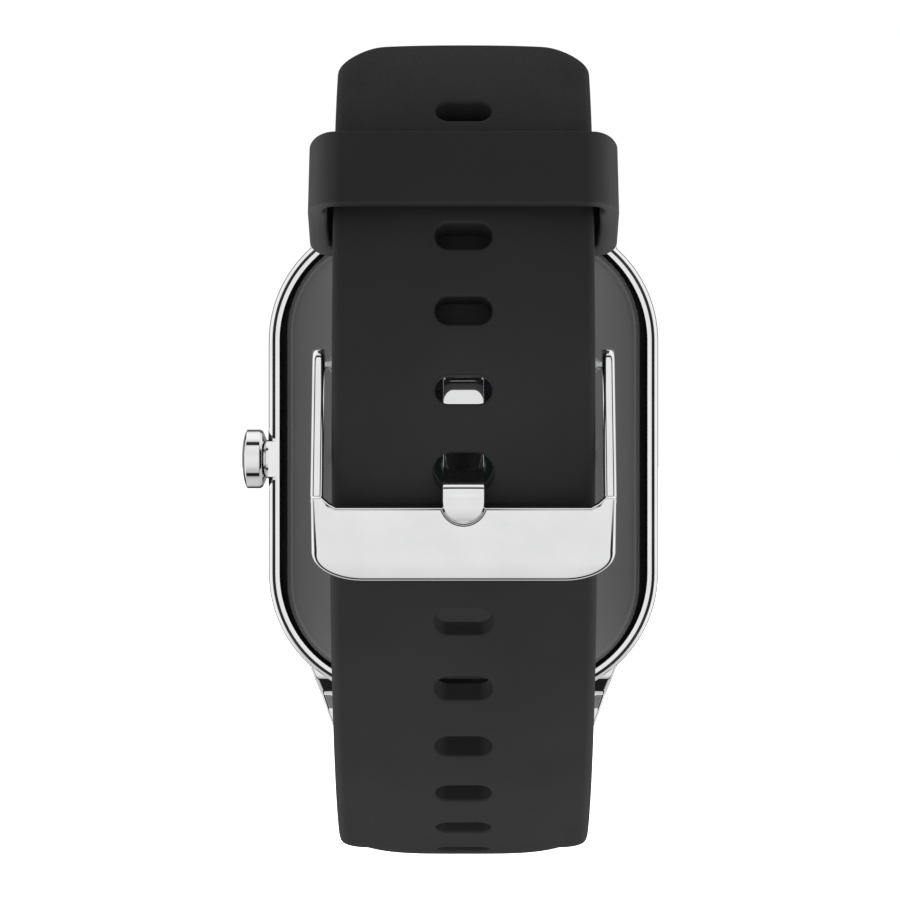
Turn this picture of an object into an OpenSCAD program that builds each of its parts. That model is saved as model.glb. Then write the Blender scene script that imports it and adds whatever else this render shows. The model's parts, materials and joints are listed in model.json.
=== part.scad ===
// Smartwatch on a closed silicone band, fastened as it is on a wrist.
// X runs across the band, +Y is the way the display faces, +Z points to 12 o'clock.
// The origin is in the middle of the wrist opening.

/* [Case] */
// Width of the case across the band
case_w = 37.6; // [37.2:0.1:38]
// Height of the case along the band
case_h = 46.4; // [46:0.1:46.8]
// Corner radius of the case outline
case_corner_r = 12; // [11.8:0.1:12.2]
// Depth of the frame from its rear rim to the display seat
case_depth = 7.9; // [7.8:0.05:8]
// Rounding of the frame's rear edge
rim_round = 1.4; // [1.2:0.1:1.45]
// Width of the rear rim
rim_w = 1.5; // [1.45:0.05:1.6]
// Open gap between the rear rim and the back cover
cover_gap = 0.45; // [0.3:0.05:0.5]
// Thickness of the display glass
glass_t = 1.75; // [1.5:0.05:1.8]
// Radius of the sensor boss on the back cover
boss_r = 12.5; // [12:0.1:13]
// Radius of the sensor window
window_r = 10.4; // [10.2:0.1:10.6]

/* [Band] */
// Width of the band, which is also the lug width
band_w = 22; // [21.8:0.1:22]
// Thickness of each strap
band_t = 2.4; // [2.2:0.05:2.4]
// Clearance between the two straps where they overlap
layer_gap = 0.15; // [0.15:0.01:0.2]
// Distance from one adjusting hole to the next, along the strap
hole_pitch = 6.45; // [6.4:0.01:6.5]
// Length of an adjusting hole across the strap
hole_l = 4.8; // [4.6:0.1:5]
// Width of an adjusting hole along the strap
hole_w = 2.35; // [2.2:0.05:2.5]
// Adjusting holes above the tongue's hole
holes_above = 5; // [4:1:5]
// Adjusting holes below the tongue's hole
holes_below = 7; // [6:1:8]
// Corner radius of the free strap tip
tip_round = 5.2; // [4.5:0.1:6]

/* [Band route] */
// Distance of the straight run behind the origin, outer layer at mid thickness
band_reach = 36; // [36:0.1:36.1]
// Height of the bottom of the straight run
run_bottom = 1.8; // [1.8:0.1:2]
// Height of the top of the straight run
run_top = 4.2; // [4.1:0.1:4.2]
// Radius of the lower part of the band, at mid thickness
lower_r = 38; // [38:0.1:38.1]
// Cosine of the angle where the lower part tightens
lower_cos = 0.352; // [0.352]
// Tighter radius of the band below the case
lower_lug_r = 22.25; // [22.2:0.05:22.3]
// Radius of the upper part of the band, outer layer at mid thickness
upper_r = 36; // [35.9:0.1:36.1]
// Cosine of the angle where the upper part tightens
upper_cos = 0.8; // [0.8]
// Tighter radius over the top, outer layer at mid thickness
upper_lug_r = 29.1; // [29:0.1:29.2]
// Angle from the straight run to the free strap tip
tip_turn = 68; // [64:1:70]

/* [Lugs] */
// Y of the spring bar axes
lug_y = 15; // [14.9:0.05:15.1]
// Distance of each spring bar axis from the middle of the case
lug_z = 25.2; // [25.2:0.05:25.3]
// Radius of the lug tips
lug_r = 2; // [1.8:0.1:2.1]
// Radius of the strap ends round the spring bars
strap_end_r = 1.9; // [1.8:0.05:1.9]

/* [Buckle] */
// Outer width of the buckle frame
buckle_w = 25.1; // [25:0.1:25.4]
// Thickness of each buckle arm across the band
arm_w = 1.25; // [1.15:0.05:1.3]
// Height of the far bar along the band
bar_h = 6.2; // [5.8:0.1:6.4]
// Thickness of the far bar
bar_t = 1.7; // [1.6:0.05:1.8]
// Clearance between the far bar and the strap
bar_gap = 0.25; // [0.2:0.05:0.3]
// Angle of the far bar's middle below the straight run
bar_turn = 10.4; // [10.3:0.1:10.5]
// Rise of the buckle pin above the start of the upper curve, in degrees
pin_turn = 6.2; // [6.1:0.1:6.3]
// Width of the tongue
tongue_w = 3.3; // [3.1:0.1:3.4]
// Thickness of the tongue
tongue_t = 0.95; // [0.85:0.05:1]

/* [Keeper] */
// Outer width of the keeper
keeper_w = 25.4; // [25.3:0.1:25.6]
// Wall thickness of the keeper
keeper_t = 1.6; // [1.4:0.1:1.6]
// Length of the keeper along the band
keeper_l = 7; // [6.4:0.1:7.4]
// Angle of the keeper's middle above the straight run
keeper_turn = 31.2; // [30:0.1:32]
// Outer corner radius of the keeper
keeper_round = 2.2; // [1.8:0.1:2.4]

/* [Crown] */
// Diameter of the crown knob
knob_d = 5.75; // [5.5:0.05:6]
// Distance of the knob's outer end from the middle of the case
knob_end = 21.5; // [21.4:0.05:21.6]
// Gap between the knob and the case's boss, which leaves room to press
knob_gap = 0.3; // [0.3:0.01:0.35]
// Z of the crown axis
crown_z = -0.2; // [-0.4:0.1:0.4]

/* [Hidden] */
$fn = 96;
eps = 0.02;
cut = 30;

// Case levels along Y, from the rear rim to the display glass
rim_y = 12.4;
seat_y = rim_y + case_depth;
cover_y = 12.9;
cover_apex_y = 11.1;
gasket_t = 0.3;
ledge_y = cover_y + gasket_t;
ledge_t = 0.6;
wall_t = 1.8;
front_ledge_y = 19;
front_ledge_w = 2.4;
rear_ledge_w = 3.2;
front_bevel = 0.6;
adhesive_t = 0.15;
glass_y = seat_y + adhesive_t;
glass_inset = 0.5;
glass_edge = 0.8;
boss_y = 10.6;
window_y = 10.3;
window_seat_y = 11.4;
window_hole_r = 9.3;
board_y = 17.6;
board_t = 0.6;
cover_inset = rim_w + cover_gap;
contact_r = 1.2;
fit = 0.04;

// Crown axis and stack, measured from the middle of the case outwards
crown_y = 16;
boss_end = knob_end - 2.35 - knob_gap;
boss_radius = 1.66;
tube_r = 1.3;
tube_bore_r = 0.85;
tube_in = 15;
shaft_r = 0.8;
shaft_in = 14.2;
clip_t = 0.3;
clip_gap = 0.1;
plate_t = 0.2;
seal_r = 0.12;
seal_places = [16, 17.4];

// Band route in the Y-Z plane
function polar(c, r, a) = [c[0] + r * cos(a), c[1] + r * sin(a)];
function arc_angle(s, r) = s / r * 180 / PI;
run_y = -band_reach;
lower_turn = acos(lower_cos);
upper_turn = acos(upper_cos);
lower_c = [run_y + lower_r, run_bottom];
lower_lug_c = polar(lower_c, lower_r - lower_lug_r, 180 + lower_turn);
upper_c = [run_y + upper_r, run_top];
upper_lug_c = polar(upper_c, upper_r - upper_lug_r, 180 - upper_turn);
layer_step = band_t + layer_gap;
under_r = upper_r - layer_step;
under_lug_r = upper_lug_r - layer_step;
lower_end = 360 + atan2(-lug_z - lower_lug_c[1], lug_y - lower_lug_c[0]);
upper_end = atan2(lug_z - upper_lug_c[1], lug_y - upper_lug_c[0]);
lower_len = lower_r * lower_turn * PI / 180;
upper_len = upper_r * upper_turn * PI / 180;

// Direction of the band's outer face, and place on the route, at arc length s
function route_dir(s) =
    s > run_top + upper_len ? 180 - upper_turn - arc_angle(s - run_top - upper_len, upper_lug_r) :
    s > run_top ? 180 - arc_angle(s - run_top, upper_r) :
    s > run_bottom ? 180 :
    s > run_bottom - lower_len ? 180 + arc_angle(run_bottom - s, lower_r) :
    180 + lower_turn + arc_angle(run_bottom - lower_len - s, lower_lug_r);
function route_at(s) =
    s > run_top + upper_len ? polar(upper_lug_c, upper_lug_r, route_dir(s)) :
    s > run_top ? polar(upper_c, upper_r, route_dir(s)) :
    s > run_bottom ? [run_y, s] :
    s > run_bottom - lower_len ? polar(lower_c, lower_r, route_dir(s)) :
    polar(lower_lug_c, lower_lug_r, route_dir(s));
tip_s = run_top + upper_len + upper_lug_r * (tip_turn - upper_turn) * PI / 180;

// The tongue's hole is stretched by the tongue, and its upper wall leans back
engaged_s = -0.87;
engaged_top = 0.25;
engaged_under_top = 1.05;
engaged_bottom = -2.75;

// Buckle pin, tongue route and running fits
eye_r = 1.55;
eye_clear = 0.05;
pin_r = 0.7;
pin_tip_r = 0.45;
pin_len = 22.4;
run_fit = 0.05;
pin_at = polar(upper_c, under_r + band_t / 2 - eye_r, 180 - pin_turn);
wrap_r = 1.5;
tongue_gap = 0.3;
tongue_start = [pin_at[0] - wrap_r + tongue_t / 2, pin_at[1]];
tongue_bend = [-32.46, 0.44];
tongue_crease = [-38.79, -2.78];
tongue_tip = [-38.32, -5.35];
tongue_tip_r = 1.6;
notch_r = 1.8;
notch_depth = 1;
bar_r = band_reach + band_t / 2 + bar_gap;
bar_corner = 3.2;
arm_eye_r = 1.35;

// Spring bars and quick-release plungers
bar_tube_r = 0.85;
bar_bore_r = 0.55;
bar_tip_r = 0.4;
bar_half = 10.6;
bar_reach = 12.1;
lug_hole_r = 0.45;
lug_inner = band_w / 2 + 0.15;
rod_r = 0.5;
rod_in = 6;
release_x = 6.6;
release_r = 0.45;
release_travel = 1.3;
release_reach = 2.6;
slot_half = 0.6;

// Keeper hollow round both straps
keeper_gap = 0.2;
keeper_in_r = under_r - band_t / 2 - keeper_gap;
keeper_out_r = upper_r + band_t / 2 + keeper_gap;
keeper_span = keeper_l / (keeper_out_r + keeper_t) * 180 / PI;

// Positions inside the case, as [X, Z]
screw_places = [[-8, 18], [8, 18], [-13.6, -11.5], [13.6, -11.5]];
contact_places = [[-2.5, -15.6], [2.5, -15.6]];
magnet_places = [[-8, -15.4], [8, -15.4]];
led_places = [[0, 2.2], [0, -2.2], [0, 0]];
diode_places = [[-5, 0], [5, 0]];

// Steel, silicone and board colours
steel_colour = "#c9cacc";
silicone_colour = "#2c2c2e";
board_colour = "#1d4a35";
gold_colour = "#c9a24a";

// ---------- Shared shapes ----------

// Draws a side view: x becomes Y, y becomes Z and the third axis becomes X
module side_view() {
    rotate([90, 0, 90]) children();
}

// Draws a face-on view: x stays X, y becomes Z and heights become Y
module face_view() {
    rotate([-90, 0, 0]) mirror([0, 1, 0]) children();
}

// Draws about the crown axis: heights become distances from the case's middle
module crown_view() {
    translate([0, crown_y, crown_z]) rotate([0, -90, 0]) children();
}

// Rounded rectangle made of exact arcs
module round_rect(w, h, r) {
    square([w - 2 * r, h], center = true);
    square([w, h - 2 * r], center = true);
    for (x = [-1, 1], y = [-1, 1])
        translate([x * (w / 2 - r), y * (h / 2 - r)]) circle(r);
}

// Plate with the case's outline, set in by a distance all round
module case_plate(inset, low, high) {
    translate([0, 0, low]) linear_extrude(high - low)
        round_rect(case_w - 2 * inset, case_h - 2 * inset, case_corner_r - inset);
}

// Flat ring with the case's outline between two insets
module case_ring(outer_inset, inner_inset, low, high) {
    difference() {
        case_plate(outer_inset, low, high);
        case_plate(inner_inset, low - eps, high + eps);
    }
}

// Carries a profile round the case outline; the profile's x starts at the corner centres
module round_sweep() {
    cx = case_w / 2 - case_corner_r;
    cy = case_h / 2 - case_corner_r;
    for (turn = [0, 180]) rotate([0, 0, turn]) {
        translate([cx, cy, 0]) rotate_extrude(angle = 90) children();
        translate([-cx, cy, 0]) rotate([0, 0, 90]) rotate_extrude(angle = 90) children();
        translate([cx, cy, 0]) rotate([90, 0, 0]) linear_extrude(2 * cy) children();
        translate([-cx, cy, 0]) rotate([90, 0, 90]) linear_extrude(2 * cx) children();
    }
}

// Block between the four corner centres, which fills the middle of a swept outline
module case_core(low, high) {
    translate([case_corner_r - case_w / 2, case_corner_r - case_h / 2, low])
        cube([case_w - 2 * case_corner_r, case_h - 2 * case_corner_r, high - low]);
}

// Oblong adjusting hole, its length across the strap
module oblong(l, w) {
    square([l - w, w], center = true);
    for (side = [-1, 1]) translate([side * (l - w) / 2, 0]) circle(w / 2);
}

// Waste outside two rounded corners at an end of width w; the end is at y = 0
module corner_waste(w, r) {
    for (side = [0, 1]) mirror([side, 0, 0]) translate([w / 2 - r, 0]) difference() {
        translate([0, -1]) square([r + 1, r + 1]);
        translate([eps, r - eps]) circle(r);
    }
}

// Cuts straight through a strap or bar from its face, in a side view
module through(depth) {
    rotate([0, 90, 0]) linear_extrude(depth, center = true) children();
}

// Places children on the route, x pointing out of the band's outer face
module on_route(s) {
    p = route_at(s);
    side_view() translate([p[0], p[1], 0]) rotate([0, 0, route_dir(s)]) children();
}

// Side view of a curved stretch of strap
module band_arc(centre, r, from, to) {
    far = 2 * r;
    steps = 4;
    intersection() {
        translate(centre) difference() {
            circle(r + band_t / 2);
            circle(r - band_t / 2);
        }
        polygon(concat([centre], [for (i = [0:steps])
            polar(centre, far, from + (to - from) * i / steps)]));
    }
}

// Gives a strap its width, from its side view
module band_body() {
    side_view() linear_extrude(band_w, center = true) children();
}

// Cylinder along X at a point of the side view
module cross_pin(p, r, x0, x1) {
    side_view() translate([p[0], p[1], x0]) cylinder(r = r, h = x1 - x0);
}

// ---------- Case ----------

// Section of the frame wall, x measured from the corner centre
module frame_section() {
    r = case_corner_r;
    intersection() {
        translate([r - rim_round, rim_y + rim_round]) circle(rim_round);
        translate([r - rim_round, rim_y]) square(rim_round);
    }
    polygon([[r - rim_round, rim_y], [r - rim_w, rim_y], [r - rim_w, ledge_y],
        [r - rear_ledge_w, ledge_y], [r - rear_ledge_w, ledge_y + ledge_t],
        [r - wall_t, ledge_y + ledge_t], [r - wall_t, front_ledge_y],
        [r - front_ledge_w, front_ledge_y], [r - front_ledge_w, seat_y],
        [r - front_bevel, seat_y], [r, seat_y - front_bevel], [r, rim_y + rim_round],
        [r - rim_round, rim_y + rim_round]]);
}

// Lug horn beside a strap end, for one side of one end
module lug_horn() {
    root_x = 14.2;
    tip_x = 12.75;
    intersection() {
        side_view() translate([0, 0, lug_inner]) linear_extrude(root_x) {
            translate([lug_y, lug_z]) circle(lug_r);
            polygon([[lug_y - lug_r, lug_z], [rim_y + rim_round, 19.5],
                [seat_y - 1, 19.5], [seat_y - 1.4, 22.6], [lug_y + lug_r, lug_z]]);
        }
        translate([0, cut / 2 + rim_y, 0]) rotate([90, 0, 0]) linear_extrude(cut, center = true)
            polygon([[lug_inner, 21.4], [root_x, 19.7], [root_x, 20.7], [tip_x, lug_z + 0.2],
                [tip_x, lug_z + lug_r], [lug_inner, lug_z + lug_r]]);
    }
}

// Raised boss round the crown, level with the rim so that it shows from behind
module crown_boss() {
    crown_view() cylinder(r = boss_radius, h = boss_end);
    translate([-boss_end, rim_y + 0.1, crown_z - boss_radius])
        cube([rim_w, crown_y - rim_y, 2 * boss_radius]);
}

module case_frame() color(steel_colour) difference() {
    union() {
        face_view() round_sweep() frame_section();
        for (side = [0, 1], end = [0, 1])
            mirror([side, 0, 0]) mirror([0, 0, end]) lug_horn();
        intersection() {
            crown_boss();
            translate([-cut, 0, -cut / 2]) cube([cut - case_w / 2 + wall_t, cut, cut]);
        }
    }
    crown_view() cylinder(r = tube_r, h = cut);
    for (end = [-1, 1])
        cross_pin([lug_y, end * lug_z], lug_hole_r, -bar_reach - 0.1, bar_reach + 0.1);
}

// Section of the pillowed cover, x measured from the corner centre
module cover_section() {
    r = case_corner_r - cover_inset;
    polygon([[0, cover_apex_y], [r - 5, cover_apex_y + 0.2], [r - 1.5, cover_apex_y + 0.7],
        [r, cover_apex_y + 1.2], [r, cover_y], [0, cover_y]]);
}

module back_cover() color("#4a4b4e") face_view() difference() {
    union() {
        round_sweep() cover_section();
        case_core(cover_apex_y, cover_y);
        translate([0, 0, boss_y]) cylinder(r = boss_r, h = cover_y - boss_y);
    }
    translate([0, 0, boss_y - 1]) cylinder(r = window_r + fit, h = window_seat_y - boss_y + 1);
    cylinder(r = window_hole_r, h = cut);
    for (p = contact_places) translate([p[0], p[1], 0]) cylinder(r = contact_r + fit, h = cut);
}

module back_gasket() color("#2a2a2a") face_view()
    case_ring(rim_w + 0.6, rear_ledge_w - 0.1, cover_y, ledge_y);

module sensor_window() color("#15171c") face_view() translate([0, 0, window_y])
    cylinder(r = window_r, h = window_seat_y - window_y);

module sensor_board() color(board_colour) face_view() translate([0, 0, cover_y])
    cylinder(r = 11.4, h = 0.6);

// Small parts standing on the sensor board, under the window
module on_sensor_board(places, size) {
    h = 0.55;
    for (p = places) translate([p[0], p[1], cover_y - h / 2]) cube([size, size, h], center = true);
}

module sensor_leds() color("#58d07a") face_view() on_sensor_board(led_places, 1.5);

module photodiodes() color("#27324a") face_view() on_sensor_board(diode_places, 3);

module charging_contacts() color(gold_colour) face_view() for (p = contact_places)
    translate([p[0], p[1], cover_apex_y + 0.25]) cylinder(r = contact_r, h = 2);

module charging_magnets() color("#8a8c90") face_view() for (p = magnet_places)
    translate([p[0], p[1], cover_y]) cylinder(r = 2, h = 0.9);

module battery() color("#8f9297") face_view() translate([1.5, 3, 13.9]) linear_extrude(3)
    round_rect(22, 26, 1.2);

module mainboard() color(board_colour) face_view() difference() {
    case_plate(rear_ledge_w + 0.1, board_y, board_y + board_t);
    for (p = screw_places) translate([p[0], p[1], 0]) cylinder(r = 0.55, h = cut);
}

module processor() color("#202124") face_view() translate([3, 3, board_y - 0.6])
    linear_extrude(0.6) square(8, center = true);

module memory_chip() color("#26272b") face_view() translate([-5, 10, board_y - 0.6])
    linear_extrude(0.6) square([5, 6.5], center = true);

module shield_can() color("#b5b8bb") face_view() translate([2, 5, board_y + board_t])
    linear_extrude(0.6) round_rect(15, 18, 0.8);

module inner_frame() color("#3b3c40") face_view() difference() {
    low = 14;
    union() {
        case_ring(wall_t + 0.2, rear_ledge_w, low, board_y);
        intersection() {
            case_plate(wall_t + 0.5, low, board_y);
            for (p = screw_places) translate([p[0], p[1], low]) {
                cylinder(r = 1.4, h = board_y - low);
                translate([sign(p[0]) * 0.7, sign(p[1]) * 0.7, (board_y - low) / 2])
                    cube([2, 2.6, board_y - low], center = true);
            }
        }
    }
    for (p = screw_places) translate([p[0], p[1], low - 1]) cylinder(r = 0.5, h = cut);
    translate([-cut - 12, crown_z - 4, 0]) cube([cut, 8, cut]);
}

module board_screws() color("#b9bbbe") face_view() for (p = screw_places)
    translate([p[0], p[1], board_y + board_t]) {
        cylinder(r = 0.9, h = 0.4);
        translate([0, 0, -2.6]) cylinder(r = 0.5, h = 2.6);
    }

module vibration_motor() color("#a9abae") face_view() translate([6, -16, 14.6])
    cylinder(r = 3.5, h = 2.9);

module speaker() color("#2f3033") face_view() translate([-6.5, -15.9, 14.4])
    linear_extrude(2.8) round_rect(9, 5.8, 1);

module microphone() color("#c4b27a") face_view() translate([-2.5, 18.5, board_y - 0.9])
    linear_extrude(0.9) square([2.6, 1.8], center = true);

module antenna() color(gold_colour) face_view()
    translate([0, case_h / 2 - rear_ledge_w - 0.15, 15.7]) cube([12.5, 0.3, 2.6], center = true);

module display_flex() color("#b8742a") face_view()
    translate([0, -19.2, (board_y + board_t + front_ledge_y) / 2 + 0.05])
        cube([8, 0.2, front_ledge_y - board_y - board_t + 0.1], center = true);

module display_panel() color("#101114") face_view()
    case_plate(front_ledge_w + 0.3, front_ledge_y + 0.1, glass_y);

module display_adhesive() color("#1a1a1a") face_view()
    case_ring(glass_inset + 0.3, front_ledge_w - 0.1, seat_y, glass_y);

// Section of the glass, x measured from the corner centre, with a rounded front edge
module glass_section() {
    r = case_corner_r - glass_inset;
    translate([r - glass_edge, glass_y + glass_t - glass_edge]) circle(glass_edge);
    square_top = glass_y + glass_t;
    translate([0, glass_y]) square([r - glass_edge, square_top - glass_y]);
    translate([0, glass_y]) square([r, glass_t - glass_edge]);
}

module display_glass() color("#0b0c0e") face_view() {
    round_sweep() glass_section();
    case_core(glass_y, glass_y + glass_t);
}

// ---------- Crown ----------

module crown_tube() color("#a8aaad") crown_view() difference() {
    translate([0, 0, tube_in]) cylinder(r = tube_r, h = boss_end - tube_in);
    cylinder(r = tube_bore_r, h = cut);
}

module crown_seals() color("#1c1c1c") crown_view() for (h = seal_places)
    translate([0, 0, h]) rotate_extrude() translate([shaft_r - seal_r + run_fit - 0.02, 0])
        circle(seal_r);

module crown_clip() color("#9c9ea1") crown_view() difference() {
    translate([0, 0, tube_in - clip_gap - clip_t]) cylinder(r = tube_r, h = clip_t);
    cylinder(r = shaft_r - 0.15, h = cut);
}

module crown_shaft() color("#b4b6b8") crown_view() difference() {
    socket = 0.8;
    translate([0, 0, shaft_in]) cylinder(r = shaft_r, h = boss_end + knob_gap + socket - shaft_in);
    for (h = seal_places) translate([0, 0, h - seal_r]) difference() {
        cylinder(r = shaft_r + 1, h = 2 * seal_r);
        cylinder(r = shaft_r - 2 * seal_r + run_fit - 0.02, h = cut);
    }
    translate([0, 0, tube_in - clip_gap - clip_t]) difference() {
        cylinder(r = shaft_r + 1, h = clip_t);
        cylinder(r = shaft_r - 0.15, h = cut);
    }
}

module crown_knob() color(steel_colour) crown_view() difference() {
    r = knob_d / 2;
    low = boss_end + knob_gap;
    neck_r = 2.35;
    rotate_extrude() polygon([[0, low], [neck_r, low], [r, low + 0.45], [r, knob_end - 0.5],
        [r - 0.35, knob_end - 0.15], [0, knob_end]]);
    cylinder(r = shaft_r, h = low + 0.8);
}

module crown_spring_plate() color("#d0d1d3") crown_view()
    translate([0, 0, shaft_in - plate_t / 2]) cube([5, 2.8, plate_t], center = true);

module crown_switch() color("#3a3b3e") crown_view() {
    back = 12.2;
    translate([0, 0.1, back + 0.5]) cube([3.6, 3, 1], center = true);
    translate([0, 0, back]) cylinder(r = 0.7, h = 1.5);
}

// ---------- Band ----------

// Slot through a strap end or tube for the quick-release knob, towards the wrist
module release_slot(end, half, reach) {
    x0 = release_x - release_r - release_travel - 0.15;
    x1 = release_x + release_r + 0.15;
    translate([x0, lug_y - reach, end * lug_z - half]) cube([x1 - x0, reach, 2 * half]);
}

module hole_strap() color(silicone_colour) difference() {
    band_body() {
        band_arc(lower_lug_c, lower_lug_r, 180 + lower_turn, lower_end);
        band_arc(lower_c, lower_r, 180, 180 + lower_turn);
        translate([run_y - band_t / 2, run_bottom]) square([band_t, run_top - run_bottom]);
        band_arc(upper_c, upper_r, 180 - upper_turn, 180);
        band_arc(upper_lug_c, upper_lug_r, 180 - tip_turn, 180 - upper_turn);
        translate([lug_y, -lug_z]) circle(strap_end_r);
    }
    for (k = [-holes_below:holes_above]) if (k != 0)
        on_route(engaged_s + k * hole_pitch) through(2 * band_t) oblong(hole_l, hole_w);
    engaged_hole();
    on_route(tip_s) through(3 * band_t) corner_waste(band_w, tip_round);
    cross_pin([lug_y, -lug_z], bar_tube_r + run_fit, -band_w, band_w);
    release_slot(-1, slot_half, 3 * band_t);
}

// The hole that the tongue comes out through
module engaged_hole() {
    out = run_y - band_t / 2;
    in = run_y + band_t / 2;
    middle = (engaged_top + engaged_bottom) / 2;
    side_view() translate([run_y, middle, 0]) rotate([0, 0, 180]) through(2 * band_t)
        oblong(hole_l, engaged_top - engaged_bottom);
    side_view() translate([0, 0, -tongue_w / 2 - 0.35]) linear_extrude(tongue_w + 0.7)
        polygon([[out, engaged_top], [in + 1, engaged_under_top + 0.35], [in + 1, middle],
            [out, middle]]);
}

module buckle_strap() color(silicone_colour) difference() {
    band_body() {
        band_arc(upper_c, under_r, 180 - upper_turn, 180 - pin_turn);
        band_arc(upper_lug_c, under_lug_r, upper_end, 180 - upper_turn);
        translate([lug_y, lug_z]) circle(strap_end_r);
        translate(pin_at) circle(eye_r - eye_clear);
    }
    cross_pin([lug_y, lug_z], bar_tube_r + run_fit, -band_w, band_w);
    release_slot(1, slot_half, 3 * band_t);
    cross_pin(pin_at, pin_r + run_fit, -band_w, band_w);
    side_view() translate([pin_at[0], pin_at[1], 0]) rotate([0, 0, 180 - pin_turn])
        translate([-cut / 2, -wrap_r - tongue_gap, -tongue_w / 2 - tongue_gap])
            cube([cut, 2 * wrap_r + 2 * tongue_gap, tongue_w + 2 * tongue_gap]);
}

// Spring bar tube with one fixed tip and a slotted bore for the plunger
module spring_bar(end) color("#a9abae") {
    at = [lug_y, end * lug_z];
    difference() {
        cross_pin(at, bar_tube_r, -bar_half, bar_half);
        cross_pin(at, bar_bore_r, rod_in - release_travel - 0.3, bar_half + 1);
        release_slot(end, release_r + 0.1, bar_tube_r + 1);
    }
    cross_pin(at, bar_tip_r, -bar_reach, -bar_half);
}

module upper_spring_bar() spring_bar(1);

module lower_spring_bar() spring_bar(-1);

// Plunger with the knob that is drawn back to free the strap
module release_plunger(end) color("#b9bbbe") {
    at = [lug_y, end * lug_z];
    cross_pin(at, rod_r, rod_in, bar_half + 0.2);
    cross_pin(at, bar_tip_r, bar_half, bar_reach);
    translate([release_x, lug_y, end * lug_z]) rotate([90, 0, 0])
        cylinder(r = release_r, h = release_reach);
}

module upper_release() release_plunger(1);

module lower_release() release_plunger(-1);

// ---------- Buckle and keeper ----------

module buckle_pin() color("#a9abae") {
    cross_pin(pin_at, pin_r, -pin_len / 2, pin_len / 2);
    cross_pin(pin_at, pin_tip_r, -buckle_w / 2 + 0.15, buckle_w / 2 - 0.15);
}

// Places children on the far bar: x out of its face, y down the band
module on_bar() {
    side_view() rotate([0, 0, 180 + bar_turn]) children();
}

module buckle_frame() color(steel_colour) difference() {
    union() {
        for (side = [0, 1]) mirror([side, 0, 0]) side_view()
            translate([0, 0, buckle_w / 2 - arm_w]) linear_extrude(arm_w) {
                translate(pin_at) circle(arm_eye_r);
                polygon([pin_at + [-1.2, -0.6], polar([0, 0], bar_r + bar_t, 180 + bar_turn - 4.4),
                    polar([0, 0], bar_r + bar_t, 180 + bar_turn - 3),
                    polar([0, 0], bar_r, 180 + bar_turn - 3),
                    polar([0, 0], bar_r - 0.1, 180 + bar_turn - 5.6), pin_at + [1.2, -0.6]]);
            }
        on_bar() translate([bar_r, -bar_h / 2, -buckle_w / 2]) cube([bar_t, bar_h, buckle_w]);
    }
    on_bar() translate([bar_r, bar_h / 2, 0]) through(4 * bar_t) mirror([0, 1, 0])
        corner_waste(buckle_w, bar_corner);
    on_bar() translate([bar_r + bar_t - notch_depth, -bar_h / 2 - 0.25, 0]) rotate([0, 90, 0])
        cylinder(r = notch_r, h = cut);
    cross_pin(pin_at, pin_tip_r + run_fit, -cut, cut);
}

// Straight strip of tongue between two points of the side view
module tongue_strip(from, to) {
    step = to - from;
    translate(from) rotate(atan2(step[1], step[0])) translate([0, -tongue_t / 2])
        square([norm(step), tongue_t]);
}

module buckle_tongue() color(steel_colour) difference() {
    side_view() translate([0, 0, -tongue_w / 2]) linear_extrude(tongue_w) {
        translate(pin_at) circle(wrap_r);
        tongue_strip(tongue_start, tongue_bend);
        tongue_strip(tongue_bend, tongue_crease);
        tongue_strip(tongue_crease, tongue_tip);
        for (p = [tongue_bend, tongue_crease]) translate(p) circle(tongue_t / 2);
    }
    cross_pin(pin_at, pin_r + run_fit, -cut, cut);
    side_view() translate([tongue_tip[0], tongue_tip[1], 0]) rotate([0, 0, 180 + bar_turn])
        through(3 * tongue_t) mirror([0, 1, 0]) corner_waste(tongue_w, tongue_tip_r);
}

module keeper() color(silicone_colour) side_view() translate([upper_c[0], upper_c[1], 0])
    rotate_extrude(angle = keeper_span, start = 180 - keeper_turn - keeper_span / 2)
        translate([(keeper_in_r + keeper_out_r) / 2, 0]) difference() {
            depth = keeper_out_r - keeper_in_r;
            round_rect(depth + 2 * keeper_t, keeper_w, keeper_round);
            round_rect(depth, keeper_w - 2 * keeper_t, 0.5);
        }

case_frame();
back_cover();
back_gasket();
sensor_window();
sensor_board();
sensor_leds();
photodiodes();
charging_contacts();
charging_magnets();
battery();
mainboard();
processor();
memory_chip();
shield_can();
inner_frame();
board_screws();
vibration_motor();
speaker();
microphone();
antenna();
display_flex();
display_panel();
display_adhesive();
display_glass();
crown_tube();
crown_seals();
crown_clip();
crown_shaft();
crown_knob();
crown_spring_plate();
crown_switch();
hole_strap();
buckle_strap();
upper_spring_bar();
lower_spring_bar();
upper_release();
lower_release();
buckle_pin();
buckle_frame();
buckle_tongue();
keeper();
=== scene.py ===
"""Smartwatch on a closed silicone band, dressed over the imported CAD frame."""
import json
import math

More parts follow.
